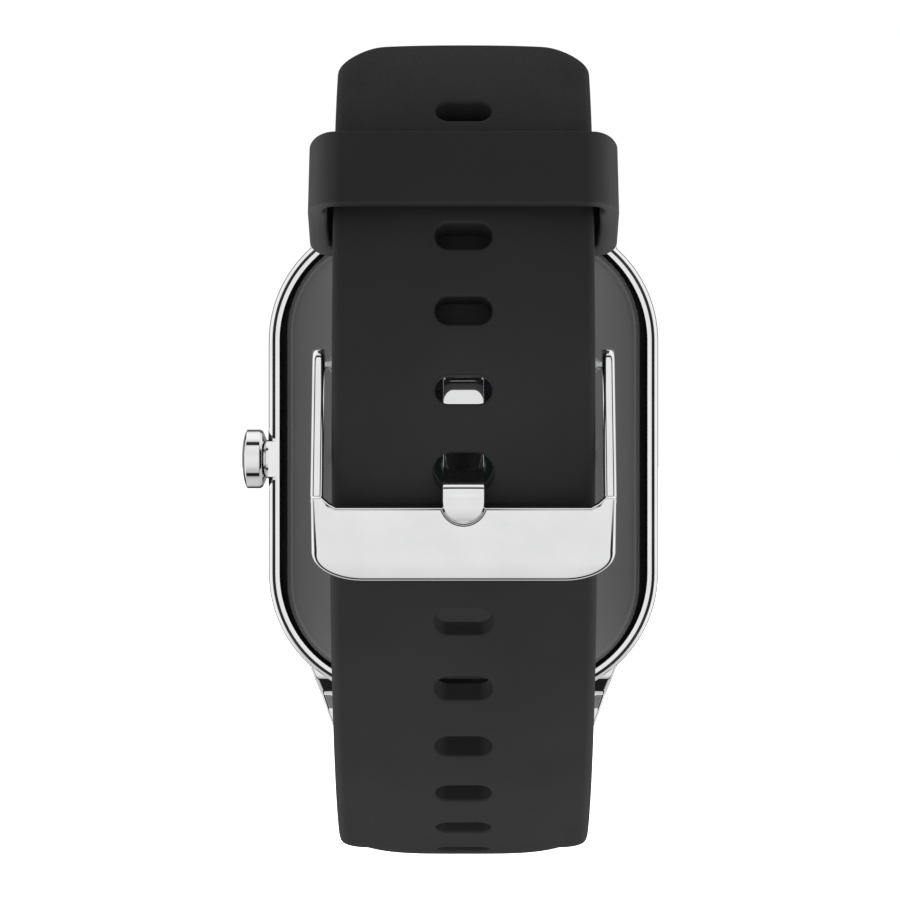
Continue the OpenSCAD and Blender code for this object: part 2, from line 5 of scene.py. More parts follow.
import bmesh
import bpy
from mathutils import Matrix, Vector


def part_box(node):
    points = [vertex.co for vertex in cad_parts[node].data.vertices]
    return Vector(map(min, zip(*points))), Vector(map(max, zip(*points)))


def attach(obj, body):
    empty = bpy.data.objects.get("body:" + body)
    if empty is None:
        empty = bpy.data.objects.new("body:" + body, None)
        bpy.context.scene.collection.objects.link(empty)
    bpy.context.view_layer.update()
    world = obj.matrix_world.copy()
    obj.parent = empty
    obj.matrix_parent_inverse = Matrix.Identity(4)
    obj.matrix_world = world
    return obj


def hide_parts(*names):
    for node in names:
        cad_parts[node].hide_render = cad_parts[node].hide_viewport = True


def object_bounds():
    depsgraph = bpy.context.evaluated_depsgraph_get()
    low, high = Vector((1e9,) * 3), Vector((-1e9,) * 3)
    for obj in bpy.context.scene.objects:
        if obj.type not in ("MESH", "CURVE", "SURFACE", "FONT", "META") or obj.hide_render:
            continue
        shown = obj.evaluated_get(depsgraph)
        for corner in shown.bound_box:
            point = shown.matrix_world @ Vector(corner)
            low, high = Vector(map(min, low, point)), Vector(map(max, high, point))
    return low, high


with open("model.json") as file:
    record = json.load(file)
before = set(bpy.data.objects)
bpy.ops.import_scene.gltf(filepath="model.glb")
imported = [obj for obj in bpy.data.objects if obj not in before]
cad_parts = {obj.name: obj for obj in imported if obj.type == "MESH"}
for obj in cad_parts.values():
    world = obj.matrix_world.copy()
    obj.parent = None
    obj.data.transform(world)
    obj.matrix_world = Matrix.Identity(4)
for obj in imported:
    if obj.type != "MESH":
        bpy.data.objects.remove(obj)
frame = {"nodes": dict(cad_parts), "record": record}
cad_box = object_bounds()
MM = 0.001

# ---------- Sizes in millimetres, from the frame's own boxes ----------


def mm_box(node):
    """Low and high corner of a node's box, in millimetres."""
    low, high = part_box(node)
    return low / MM, high / MM


CASE_LOW = mm_box("case_frame")[0]
STRAP_HIGH = mm_box("hole_strap")[1]
COVER_HIGH = mm_box("back_cover")[1]
BUCKLE_HIGH = mm_box("buckle_frame")[1]
KEEPER_HIGH = mm_box("keeper")[1]
GLASS_LOW, GLASS_HIGH = mm_box("display_glass")
WINDOW_LOW, WINDOW_HIGH = mm_box("sensor_window")
KNOB_LOW, KNOB_HIGH = mm_box("crown_knob")

CASE_LIP = 0.5
CASE_W = GLASS_HIGH.x - GLASS_LOW.x + 2 * CASE_LIP
CASE_H = GLASS_HIGH.z - GLASS_LOW.z + 2 * CASE_LIP
CORNER_R = 12.0
RIM_Y = CASE_LOW.y
SEAT_GAP = 0.15
SEAT_Y = GLASS_LOW.y - SEAT_GAP
BAND_HALF = STRAP_HIGH.x
BAND_T = 2.4
HALF_T = BAND_T / 2
LUG_Y, LUG_Z = 15.0, 25.2
LUG_END_R = 2.0
CROWN_Y, CROWN_Z = 16.0, -0.2

# Band route in the Y-Z plane, outer layer at mid thickness
RUN_Y = -36.0
RUN_BOTTOM, RUN_TOP = 1.8, 4.2
LOWER_C, LOWER_R = (2.0, 1.8), 38.0
LOWER_TURN = math.acos(0.352)
LOWER_LUG_R = 22.25
UPPER_C, UPPER_R = (0.0, 4.2), 36.0
UPPER_TURN = math.acos(0.8)
UPPER_LUG_R = 29.1
TIP_TURN = math.radians(68)
LAYER_STEP = BAND_T + 0.15
UNDER_R, UNDER_LUG_R = UPPER_R - LAYER_STEP, UPPER_LUG_R - LAYER_STEP
TIP_EXTRA = 0.45
PIN_TURN = math.radians(6.2)
PIN_DEPTH = 1.55
BAR_TURN = math.radians(10.4)

# Adjusting holes, counted from the one the tongue uses, and the stretch where the strap is wider
HOLE_PITCH, HOLE_L, HOLE_W = 6.45, 4.8, 2.35
ENGAGED_S = -0.87
HOLES = range(-7, 6)
WIDER_SHARE = 0.017
WIDER_FROM, WIDER_TO = -4, -52


def smooth_step(t):
    t = min(1.0, max(0.0, t))
    return t * t * (3 - 2 * t)


def polar(centre, radius, angle):
    return (centre[0] + radius * math.cos(angle), centre[1] + radius * math.sin(angle))


LOWER_LUG_C = polar(LOWER_C, LOWER_R - LOWER_LUG_R, math.pi + LOWER_TURN)
UPPER_LUG_C = polar(UPPER_C, UPPER_R - UPPER_LUG_R, math.pi - UPPER_TURN)
LOWER_LEN = LOWER_R * LOWER_TURN
UPPER_LEN = UPPER_R * UPPER_TURN
TIP_S = RUN_TOP + UPPER_LEN + UPPER_LUG_R * (TIP_TURN - UPPER_TURN) + TIP_EXTRA
LOWER_END = 2 * math.pi + math.atan2(-LUG_Z - LOWER_LUG_C[1], LUG_Y - LOWER_LUG_C[0])
END_S = RUN_BOTTOM - LOWER_LEN - LOWER_LUG_R * (LOWER_END - math.pi - LOWER_TURN)
PIN_AT = polar(UPPER_C, UNDER_R + HALF_T - PIN_DEPTH, math.pi - PIN_TURN)


def outer_route(s):
    """Centre and outward angle of the outer strap at arc length s."""
    if s > RUN_TOP + UPPER_LEN:
        angle = math.pi - UPPER_TURN - (s - RUN_TOP - UPPER_LEN) / UPPER_LUG_R
        return polar(UPPER_LUG_C, UPPER_LUG_R, angle), angle
    if s > RUN_TOP:
        angle = math.pi - (s - RUN_TOP) / UPPER_R
        return polar(UPPER_C, UPPER_R, angle), angle
    if s > RUN_BOTTOM:
        return (RUN_Y, s), math.pi
    if s > RUN_BOTTOM - LOWER_LEN:
        angle = math.pi + (RUN_BOTTOM - s) / LOWER_R
        return polar(LOWER_C, LOWER_R, angle), angle
    angle = math.pi + LOWER_TURN + (RUN_BOTTOM - LOWER_LEN - s) / LOWER_LUG_R
    return polar(LOWER_LUG_C, LOWER_LUG_R, angle), angle


UNDER_LEN = UNDER_R * (UPPER_TURN - PIN_TURN)
UPPER_END = math.atan2(LUG_Z - UPPER_LUG_C[1], LUG_Y - UPPER_LUG_C[0])
UNDER_END_S = UNDER_LEN + UNDER_LUG_R * (math.pi - UPPER_TURN - UPPER_END)


def under_route(s):
    """Centre and outward angle of the inner strap, from the buckle pin to the upper lugs."""
    if s < UNDER_LEN:
        angle = math.pi - PIN_TURN - s / UNDER_R
        return polar(UPPER_C, UNDER_R, angle), angle
    angle = math.pi - UPPER_TURN - (s - UNDER_LEN) / UNDER_LUG_R
    return polar(UPPER_LUG_C, UNDER_LUG_R, angle), angle


def on_route(route, s, x, h):
    """Point of a strap at arc length s, x across it and h outwards from its mid thickness."""
    (y, z), angle = route(s)
    if route is outer_route:
        wider = smooth_step((WIDER_FROM - s) / 7) * smooth_step((s - WIDER_TO) / 8)
        x *= 1 + WIDER_SHARE * wider
    return (x, y + h * math.cos(angle), z + h * math.sin(angle))


# ---------- Mesh helpers ----------


def spread(low, high, count):
    """Evenly spaced values from low to high, both included."""
    return [low + (high - low) * i / count for i in range(count + 1)]


def between(a, b, part):
    return tuple(p + (q - p) * part for p, q in zip(a, b))


def circle(radius, count):
    """Points round the origin, the first not repeated."""
    return [(radius * math.cos(a), radius * math.sin(a))
            for a in spread(0, 2 * math.pi, count)[:-1]]


def corners(steps):
    """Signs of each corner of a rounded box, with the cosine and sine of every turn round it."""
    for su, sv, start in ((1, 1, 0), (-1, 1, 90), (-1, -1, 180), (1, -1, 270)):
        for a in spread(math.radians(start), math.radians(start + 90), steps):
            yield su, sv, math.cos(a), math.sin(a)


class Surface:
    """Collects points in millimetres and the faces between them."""

    def __init__(self):
        self.points = []
        self.faces = []

    def add_rings(self, rings, closed=True):
        """Joins rings of equal length by quads and returns the first index of each ring."""
        starts = []
        for ring in rings:
            starts.append(len(self.points))
            self.points.extend(ring)
        count = len(rings[0])
        steps = count if closed else count - 1
        for a, b in zip(starts, starts[1:]):
            for i in range(steps):
                j = (i + 1) % count
                self.faces.append((a + i, a + j, b + j, b + i))
        return starts

    def cap(self, start, count):
        self.faces.append(tuple(range(start, start + count)))

    def fan(self, start, count, centre):
        self.points.append(centre)
        middle = len(self.points) - 1
        for i in range(count):
            self.faces.append((start + i, start + (i + 1) % count, middle))

    def build(self, name, weld=0.0005, sharp=None):
        mesh = bpy.data.meshes.new(name)
        mesh.from_pydata([Vector(p) * MM for p in self.points], [], self.faces)
        bm = bmesh.new()
        bm.from_mesh(mesh)
        bmesh.ops.remove_doubles(bm, verts=bm.verts, dist=weld * MM)
        bmesh.ops.recalc_face_normals(bm, faces=bm.faces)
        bm.to_mesh(mesh)
        bm.free()
        mesh.polygons.foreach_set("use_smooth", [True] * len(mesh.polygons))
        if sharp:
            mesh.set_sharp_from_angle(angle=math.radians(sharp))
        piece = bpy.data.objects.new(name, mesh)
        bpy.context.scene.collection.objects.link(piece)
        return piece


def extruded(surface, outline, low, high, place, bevel):
    """Adds a prism with its low rim rounded; place turns (u, v, height) into a point."""
    bm = bmesh.new()
    rims = [[bm.verts.new((u, v, h)) for u, v in outline] for h in (low, high)]
    count = len(outline)
    for i in range(count):
        j = (i + 1) % count
        bm.faces.new((rims[0][i], rims[0][j], rims[1][j], rims[1][i]))
    bm.faces.new(list(reversed(rims[0])))
    bm.faces.new(rims[1])
    edges = [bm.edges.get((rims[0][i], rims[0][(i + 1) % count])) for i in range(count)]
    bmesh.ops.bevel(bm, geom=edges, offset=bevel, segments=5, profile=0.5,
                    affect="EDGES", clamp_overlap=True)
    bm.verts.ensure_lookup_table()
    start = len(surface.points)
    surface.points.extend(place(*v.co) for v in bm.verts)
    for face in bm.faces:
        surface.faces.append(tuple(start + v.index for v in face.verts))
    bm.free()


def soften(points, cut, steps=4):
    """Rounds a profile's corners and keeps the faces beside each corner flat."""
    rounded = [points[0]]
    for before, corner, after in zip(points, points[1:], points[2:]):
        corner = Vector(corner)
        back, ahead = Vector(before) - corner, Vector(after) - corner
        reach = min(cut, 0.4 * back.length, 0.4 * ahead.length)
        back, ahead = back.normalized() * reach, ahead.normalized() * reach
        rounded.append(tuple(corner + back * 1.15))
        for t in spread(0, 1, steps):
            rounded.append(tuple(corner + back * (1 - t) ** 2 + ahead * t * t))
        rounded.append(tuple(corner + ahead * 1.15))
    return rounded + [points[-1]]


RIM_W = 1.07
SHOULDER_W, LAND_START, LAND_DROP = 0.38, 0.70, 0.045


def rim_section(width, facet=32.5):
    """Polished edge as (inset, sink) points: round shoulder, narrow facet, nearly flat land."""
    k = width / RIM_W
    lip = math.radians(facet + 5.5)
    radius = SHOULDER_W / (1 - math.sin(lip))
    drop = LAND_DROP + (LAND_START - SHOULDER_W) * math.tan(math.radians(facet))
    points = [(k * radius * (1 - math.sin(a)), k * (drop + radius * (math.cos(lip) - math.cos(a))))
              for a in spread(math.pi / 2, lip, 12)]
    land = [(LAND_START * k, LAND_DROP * k), (width, 0.0)]
    return points[:-2] + soften(points[-2:] + land, 0.04 * k)


def inward_shifts(points):
    """Vector that moves each point of a closed outline inwards by one unit of inset."""
    area = sum(a[0] * b[1] - b[0] * a[1] for a, b in zip(points, points[1:] + points[:1]))
    shifts = []
    for i, point in enumerate(points):
        back = (Vector(point) - Vector(points[i - 1])).normalized()
        ahead = (Vector(points[(i + 1) % len(points)]) - Vector(point)).normalized()
        side = Vector((-back.y, back.x)) * math.copysign(1, area)
        middle = side + Vector((-ahead.y, ahead.x)) * math.copysign(1, area)
        middle.normalize()
        shifts.append(middle / max(0.6, middle.dot(side)))
    return shifts


def rimmed(surface, outline, low, high, place, edge):
    """Adds a plate with a polished upper rim; edge gives its width and facet at each point."""
    shifts = inward_shifts(outline)
    columns = []
    for (u, v), shift in zip(outline, shifts):
        section = rim_section(*edge((u, v), shift.normalized()))
        levels = [(0.2, low), (0.06, low + 0.06), (0.0, low + 0.2)]
        levels += [(inset, high - sink) for inset, sink in section]
        columns.append([place(u + shift.x * inset, v + shift.y * inset, level)
                        for inset, level in levels])
    starts = surface.add_rings(list(zip(*columns)))
    surface.cap(starts[0], len(outline))
    surface.cap(starts[-1], len(outline))


def finish_piece(piece, material, body, slot, *nodes):
    piece.data.materials.append(material)
    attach(piece, body)
    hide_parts(*nodes)


# ---------- Materials ----------


def new_material(name):
    material = bpy.data.materials.new(name)
    material.use_nodes = True
    tree = material.node_tree
    tree.nodes.clear()
    shader = tree.nodes.new("ShaderNodeBsdfPrincipled")
    output = tree.nodes.new("ShaderNodeOutputMaterial")
    tree.links.new(shader.outputs["BSDF"], output.inputs["Surface"])
    place = tree.nodes.new("ShaderNodeTexCoord").outputs["Object"]
    return material, tree, shader, place


def noise(tree, place, scale, detail=3.0, rough=0.5, stretch=None):
    if stretch:
        mapping = tree.nodes.new("ShaderNodeMapping")
        mapping.inputs["Scale"].default_value = stretch
        tree.links.new(place, mapping.inputs["Vector"])
        place = mapping.outputs["Vector"]
    node = tree.nodes.new("ShaderNodeTexNoise")
    node.inputs["Scale"].default_value = scale
    node.inputs["Detail"].default_value = detail
    node.inputs["Roughness"].default_value = rough
    tree.links.new(place, node.inputs["Vector"])
    return node.outputs["Fac"]


def ramp(tree, fac, stops):
    node = tree.nodes.new("ShaderNodeValToRGB")
    elements = node.color_ramp.elements
    while len(elements) < len(stops):
        elements.new(0.5)
    for element, (position, colour) in zip(elements, stops):
        element.position = position
        element.color = (*colour, 1.0)
    tree.links.new(fac, node.inputs["Fac"])
    return node.outputs["Color"]


def remap(tree, value, low, high, from_low=0.3, from_high=0.7):
    node = tree.nodes.new("ShaderNodeMapRange")
    for key, number in (("From Min", from_low), ("From Max", from_high),
                        ("To Min", low), ("To Max", high)):
        node.inputs[key].default_value = number
    tree.links.new(value, node.inputs["Value"])
    return node.outputs["Result"]


def set_input(tree, socket, value):
    """Links a node's output to a socket, or sets a plain value on it."""
    if isinstance(value, bpy.types.NodeSocket):
        tree.links.new(value, socket)
    else:
        socket.default_value = value


def mixed(tree, blend, factor, first, second):
    node = tree.nodes.new("ShaderNodeMix")
    node.data_type = "RGBA"
    node.blend_type = blend
    for index, value in ((0, factor), (6, first), (7, second)):
        set_input(tree, node.inputs[index], value)
    return node.outputs[2]


def across(tree, place):
    """Distance from the middle plane of the watch, in metres."""
    separate = tree.nodes.new("ShaderNodeSeparateXYZ")
    tree.links.new(place, separate.inputs["Vector"])
    node = tree.nodes.new("ShaderNodeMath")
    node.operation = "ABSOLUTE"
    tree.links.new(separate.outputs["X"], node.inputs[0])
    return node.outputs[0]


def add_bump(tree, shader, height, strength, distance):
    node = tree.nodes.new("ShaderNodeBump")
    node.inputs["Strength"].default_value = strength
    node.inputs["Distance"].default_value = distance
    tree.links.new(height, node.inputs["Height"])
    tree.links.new(node.outputs["Normal"], shader.inputs["Normal"])


def grained(name, dark, light, scale, rough, metallic, specular):
    """A finish whose colour, gloss and surface all vary with one fine grain."""
    material, tree, shader, place = new_material(name)
    grain = noise(tree, place, scale, 4.0)
    cloud = noise(tree, place, scale * 0.06, 2.0)
    tree.links.new(ramp(tree, cloud, [(0.3, dark), (0.7, light)]), shader.inputs["Base Color"])
    tree.links.new(remap(tree, grain, *rough), shader.inputs["Roughness"])
    shader.inputs["Metallic"].default_value = metallic
    shader.inputs["Specular IOR Level"].default_value = specular
    add_bump(tree, shader, grain, 0.15, 0.00001)
    return material


def polished_steel():
    """Mirror finish with a faint haze and hairline polishing marks."""
    material, tree, shader, place = new_material("polished_steel")
    cloud = noise(tree, place, 260, 3.0)
    marks = noise(tree, place, 5200, 2.0, stretch=(0.12, 1.0, 1.0))
    tree.links.new(ramp(tree, cloud, [(0.3, (0.86, 0.862, 0.868)), (0.7, (0.915, 0.915, 0.92))]),
                   shader.inputs["Base Color"])
    tree.links.new(remap(tree, cloud, 0.035, 0.085), shader.inputs["Roughness"])
    shader.inputs["Metallic"].default_value = 1.0
    add_bump(tree, shader, marks, 0.02, 0.00001)
    return material


def silicone():
    """Matte moulded silicone: very fine orange peel over faint clouding, with painted light that
    turns it paler on the rounded sides.
    """
    material, tree, shader, place = new_material("silicone")
    cloud = noise(tree, place, 90, 3.0)
    peel = noise(tree, place, 5200, 3.0, 0.6)
    faces = ramp(tree, cloud, [(0.3, (0.0148, 0.0148, 0.0151)), (0.7, (0.0175, 0.0175, 0.0179))])
    # Painted light: from 10.4 to 12.4 mm out from the middle the colour blends towards a pale grey,
    # standing in for side light on the rounded edges.
    painted_edge_light = remap(tree, across(tree, place), 0.0, 1.0, 0.0104, 0.0124)
    tone = mixed(tree, "MIX", painted_edge_light, faces, (0.05, 0.05, 0.051, 1))
    tree.links.new(tone, shader.inputs["Base Color"])
    tree.links.new(remap(tree, peel, 0.54, 0.68), shader.inputs["Roughness"])
    shader.inputs["Specular IOR Level"].default_value = 0.14
    add_bump(tree, shader, peel, 0.12, 0.00002)
    return material


def cover_satin():
    """Painted satin plate with fine metallic flecks, faint random clouding, and painted light: a
    lighter band about 11 mm either side of the middle, beside the straps.
    """
    material, tree, shader, place = new_material("cover_satin")
    fleck = tree.nodes.new("ShaderNodeTexVoronoi")
    fleck.inputs["Scale"].default_value = 9000
    tree.links.new(place, fleck.inputs["Vector"])
    cloud = noise(tree, place, 120, 3.0)
    # Painted light: the tone rises from dark at the middle to a light band near 10.7 mm out, then
    # falls dark again towards the rim at 17.2 mm.
    tone = ramp(tree, remap(tree, across(tree, place), 0.0, 1.0, 0.0, 0.0172),
                [(0.0, (0.03, 0.03, 0.032)), (0.42, (0.034, 0.034, 0.036)),
                 (0.62, (0.128, 0.128, 0.131)), (1.0, (0.036, 0.036, 0.038))])
    shade = ramp(tree, cloud, [(0.3, (0.6, 0.6, 0.6)), (0.7, (1, 1, 1))])
    clouded = mixed(tree, "MULTIPLY", 0.2, tone, shade)
    sparkle = remap(tree, fleck.outputs["Distance"], 0.25, 0.0, 0.0, 0.35)
    flecked = mixed(tree, "ADD", sparkle, clouded, (0.05, 0.05, 0.052, 1))
    tree.links.new(flecked, shader.inputs["Base Color"])
    tree.links.new(remap(tree, cloud, 0.34, 0.42), shader.inputs["Roughness"])
    shader.inputs["Specular IOR Level"].default_value = 0.5
    add_bump(tree, shader, fleck.outputs["Distance"], 0.05, 0.00001)
    return material


def dark_glass(name, rings):
    """Black glass; rings are radii in metres where a hidden part shows as a faint tone."""
    material, tree, shader, place = new_material(name)
    smudge = noise(tree, place, 240, 4.0)
    separate = tree.nodes.new("ShaderNodeSeparateXYZ")
    tree.links.new(place, separate.inputs["Vector"])
    flat = tree.nodes.new("ShaderNodeCombineXYZ")
    tree.links.new(separate.outputs["X"], flat.inputs["X"])
    tree.links.new(separate.outputs["Z"], flat.inputs["Z"])
    length = tree.nodes.new("ShaderNodeVectorMath")
    length.operation = "LENGTH"
    tree.links.new(flat.outputs["Vector"], length.inputs[0])
    tone = ramp(tree, remap(tree, length.outputs["Value"], 0.0, 1.0, 0.0, 0.03), rings)
    smudged = mixed(tree, "ADD", remap(tree, smudge, 0.0, 0.15), tone, (0.01, 0.01, 0.012, 1))
    tree.links.new(smudged, shader.inputs["Base Color"])
    shader.inputs["Specular IOR Level"].default_value = 0.05
    tree.links.new(remap(tree, smudge, 0.02, 0.07), shader.inputs["Roughness"])
    shader.inputs["Coat Weight"].default_value = 1.0
    shader.inputs["Coat Roughness"].default_value = 0.02
    return material


def circuit_board():
    """Solder mask over fine copper tracks."""
    material, tree, shader, place = new_material("circuit_board")
    tracks = tree.nodes.new("ShaderNodeTexBrick")
    for key, number in (("Scale", 900.0), ("Mortar Size", 0.03), ("Brick Width", 0.9),
                        ("Row Height", 0.3)):
        tracks.inputs[key].default_value = number
    tracks.inputs["Color1"].default_value = (0.012, 0.075, 0.04, 1)
    tracks.inputs["Color2"].default_value = (0.016, 0.09, 0.05, 1)
    tracks.inputs["Mortar"].default_value = (0.03, 0.15, 0.07, 1)
    turned = tree.nodes.new("ShaderNodeMapping")
    turned.inputs["Rotation"].default_value = (math.pi / 2, 0, 0)
    tree.links.new(place, turned.inputs["Vector"])
    tree.links.new(turned.outputs["Vector"], tracks.inputs["Vector"])
    tree.links.new(tracks.outputs["Color"], shader.inputs["Base Color"])
    tree.links.new(remap(tree, noise(tree, place, 900), 0.25, 0.4), shader.inputs["Roughness"])
    add_bump(tree, shader, tracks.outputs["Fac"], 0.2, 0.00002)
    return material


def slot_materials():
    """One finish for each material slot of the record."""
    finishes = {
        "polished_steel": polished_steel(),
        "silicone": silicone(),
        "cover_satin": cover_satin(),
        "circuit_board": circuit_board(),
        "display_glass": dark_glass("display_glass", [
            (0.0, (0.0045, 0.0045, 0.006)), (0.9, (0.0035, 0.0035, 0.0045))]),
        "sensor_glass": dark_glass("sensor_glass", [
            (0.0, (0.004, 0.008, 0.006)), (0.09, (0.004, 0.007, 0.006)),
            (0.13, (0.004, 0.004, 0.005)), (0.27, (0.004, 0.004, 0.005)),
            (0.29, (0.012, 0.012, 0.013)), (0.31, (0.004, 0.004, 0.005))]),
    }
    plain = {
        "display_black": ((0.008, 0.008, 0.01), (0.012, 0.012, 0.015), 700, (0.2, 0.3), 0.0, 0.5),
        # seal_rubber is near black: partly the rubber's own colour, partly painted shade for the
        # gap round the back cover.
        "seal_rubber": ((0.003, 0.003, 0.003), (0.006, 0.006, 0.006), 3000, (0.6, 0.8), 0.0, 0.1),
        "led_lens": ((0.25, 0.6, 0.32), (0.35, 0.75, 0.42), 1500, (0.1, 0.2), 0.0, 0.5),
        "chip_black": ((0.018, 0.018, 0.02), (0.032, 0.032, 0.036), 4000, (0.45, 0.65), 0.0, 0.4),
        "gold_contact": ((0.72, 0.5, 0.2), (0.82, 0.6, 0.28), 2500, (0.16, 0.3), 1.0, 0.5),
        "inner_steel": ((0.5, 0.51, 0.52), (0.62, 0.63, 0.64), 3000, (0.22, 0.38), 1.0, 0.5),
        "battery_foil": ((0.42, 0.43, 0.45), (0.55, 0.56, 0.58), 1200, (0.3, 0.5), 1.0, 0.5),
        "inner_plastic": ((0.03, 0.03, 0.034), (0.05, 0.05, 0.055), 3500, (0.5, 0.7), 0.0, 0.4),
        "flex_film": ((0.3, 0.15, 0.04), (0.45, 0.24, 0.07), 1800, (0.25, 0.4), 0.0, 0.5),
    }
    for slot, (dark, light, scale, rough, metallic, specular) in plain.items():
        finishes[slot] = grained(slot, dark, light, scale, rough, metallic, specular)
    return finishes


# ---------- Straps ----------

EDGE_STEPS = 9
SIDE_COLUMNS = 9
CELL_COLUMNS = 20
CELL_ROWS = 12
CELL_X = 5.0
TIP_R = 4.2
TIP_BOW = 0.9
TIP_EDGE = 0.55

# The hole that the tongue stretches: middle and width of its front and rear mouths, and its length
ENGAGED_MOUTHS = (-1.15, 3.1), (-0.65, 4.2)
ENGAGED_L = HOLE_L + 0.2


class Layer:
    """One face of a strap: its side, how far its rounded edges reach in and how much it crowns."""

    def __init__(self, sign, edge, crown):
        self.sign = sign
        self.edge = edge
        self.crown = crown
        self.turns = spread(0, math.pi / 2, EDGE_STEPS)[:-1]
        self.flat = (spread(-BAND_HALF + edge, -CELL_X, SIDE_COLUMNS)[:-1]
                     + spread(-CELL_X, CELL_X, CELL_COLUMNS)
                     + spread(CELL_X, BAND_HALF - edge, SIDE_COLUMNS)[1:])

    def height(self, x, half, share=1.0):
        """Height of the face at x, with a share of its full crown."""
        reach = min(1.0, abs(x) / (BAND_HALF - self.edge))
        return self.sign * (half - share * self.crown * reach ** 4)

    def row(self, route, s, half):
        """Points right across the strap, edge to edge."""
        points = []
        for turn in self.turns:
            x = -BAND_HALF + self.edge * (1 - math.cos(turn))
            points.append(on_route(route, s, x, self.height(x, half) * math.sin(turn)))
        middle = [on_route(route, s, x, self.height(x, half)) for x in self.flat]
        mirrored = [(-x, y, z) for x, y, z in reversed(points)]
        return points + middle + mirrored


FRONT = Layer(1, 2.3, 0.58)
REAR = Layer(-1, 0.8, 0.0)
FLAT_START = EDGE_STEPS + SIDE_COLUMNS
FLAT_END = FLAT_START + CELL_COLUMNS


def stadium(angle, radius, straight):
    """Point of an oblong's edge seen at an angle from its middle."""
    cx, cs = math.cos(angle), math.sin(angle)
    if abs(cs) > 1e-9 and abs(cx / cs) * radius <= straight:
        return (radius * cx / abs(cs), radius * math.copysign(1, cs))
    side = math.copysign(straight, cx)
    reach = side * cx + math.sqrt(max(0.0, radius * radius - (side * cs) ** 2))
    return (reach * cx, reach * cs)


def cell_boundary(s0, s1):
    """Outline of the part of a strap that one hole is cut from."""
    xs = spread(-CELL_X, CELL_X, CELL_COLUMNS)
    ss = spread(s0, s1, CELL_ROWS)
    return ([(x, s0) for x in xs] + [(CELL_X, s) for s in ss[1:]]
            + [(x, s1) for x in reversed(xs[:-1])] + [(-CELL_X, s) for s in reversed(ss[1:-1])])


def hole_patch(surface, layer, boundary, middle, length, width, fillet):
    """Fills a cell round an oblong hole and rolls its rim over; returns the last ring."""
    radius, straight = width / 2, (length - width) / 2
    angles = [math.atan2(s - middle, x) for x, s in boundary]
    rings = []
    for part in spread(0.0, 1.0, 4):
        ring = []
        for (x, s), angle in zip(boundary, angles):
            hx, hs = stadium(angle, radius + fillet, straight)
            px, ps = x + (hx - x) * part, s + (hs + middle - s) * part
            ring.append(on_route(outer_route, ps, px, layer.height(px, HALF_T)))
        rings.append(ring)
    for turn in spread(math.pi / 2, 0.0, 5)[1:]:
        ring = []
        for angle in angles:
            hx, hs = stadium(angle, radius + fillet * (1 - math.cos(turn)), straight)
            drop = layer.sign * fillet * (1 - math.sin(turn))
            ring.append(on_route(outer_route, hs + middle, hx, layer.height(hx, HALF_T) - drop))
        rings.append(ring)
    surface.add_rings(rings)
    return rings[-1]


def strap_hole(surface, k):
    """Oblong hole k of the row, through both faces; hole 0 is the one that the tongue stretches."""
    middle = ENGAGED_S + k * HOLE_PITCH
    boundary = cell_boundary(middle - HOLE_PITCH / 2, middle + HOLE_PITCH / 2)
    mouths, length = ((middle, HOLE_W), (middle, HOLE_W)), HOLE_L
    if k == 0:
        mouths, length = ENGAGED_MOUTHS, ENGAGED_L
    front, rear = [hole_patch(surface, layer, boundary, at, length, width, fillet)
                   for layer, (at, width), fillet in zip((FRONT, REAR), mouths, (0.22, 0.15))]
    surface.add_rings([[between(a, b, part) for a, b in zip(front, rear)]
                       for part in spread(0.0, 1.0, 3)])


def coons(bottom, top, left, right):
    """Grid that fills four boundary curves given as point lists."""
    n, m = len(bottom) - 1, len(left) - 1
    rows = []
    for j in range(m + 1):
        v = j / m
        row = []
        for i in range(n + 1):
            u = i / n
            row.append(tuple(
                (1 - v) * bottom[i][c] + v * top[i][c] + (1 - u) * left[j][c] + u * right[j][c]
                - (1 - u) * (1 - v) * bottom[0][c] - u * (1 - v) * bottom[n][c]
                - (1 - u) * v * top[0][c] - u * v * top[n][c] for c in (0, 1)))
        rows.append(row)
    return rows


def tip_anchors(s0):
    """Anchor and outward direction of each outline point round the free tip, left to right."""
    inner_x, corner_s = BAND_HALF - TIP_R, TIP_S - TIP_R
    left = [((-inner_x, s), (-1.0, 0.0)) for s in spread(s0, corner_s, 7)]
    left += [((-inner_x, corner_s), (-math.cos(a), math.sin(a)))
             for a in spread(0, math.pi / 4, 7)[1:]]
    columns = len(FRONT.flat) - 1
    arc = 7
    top = [((-inner_x, corner_s), (-math.cos(a), math.sin(a)))
           for a in spread(math.pi / 4, math.pi / 2, arc)]
    top += [((x, corner_s), (0.0, 1.0))
            for x in spread(-inner_x, inner_x, columns - 2 * arc)[1:]]
    top += [((-p[0], p[1]), (-d[0], d[1])) for p, d in reversed(top[:arc])]
    right = [((-p[0], p[1]), (-d[0], d[1])) for p, d in left]
    return left, top, right


def bowed(point, s0):
    """Draws a point of the tip back towards the sides, so that the end bows."""
    x, s = point
    rise = smooth_step((s - s0) / (TIP_S - s0))
    return (x, s - TIP_BOW * rise * (x / BAND_HALF) ** 2)


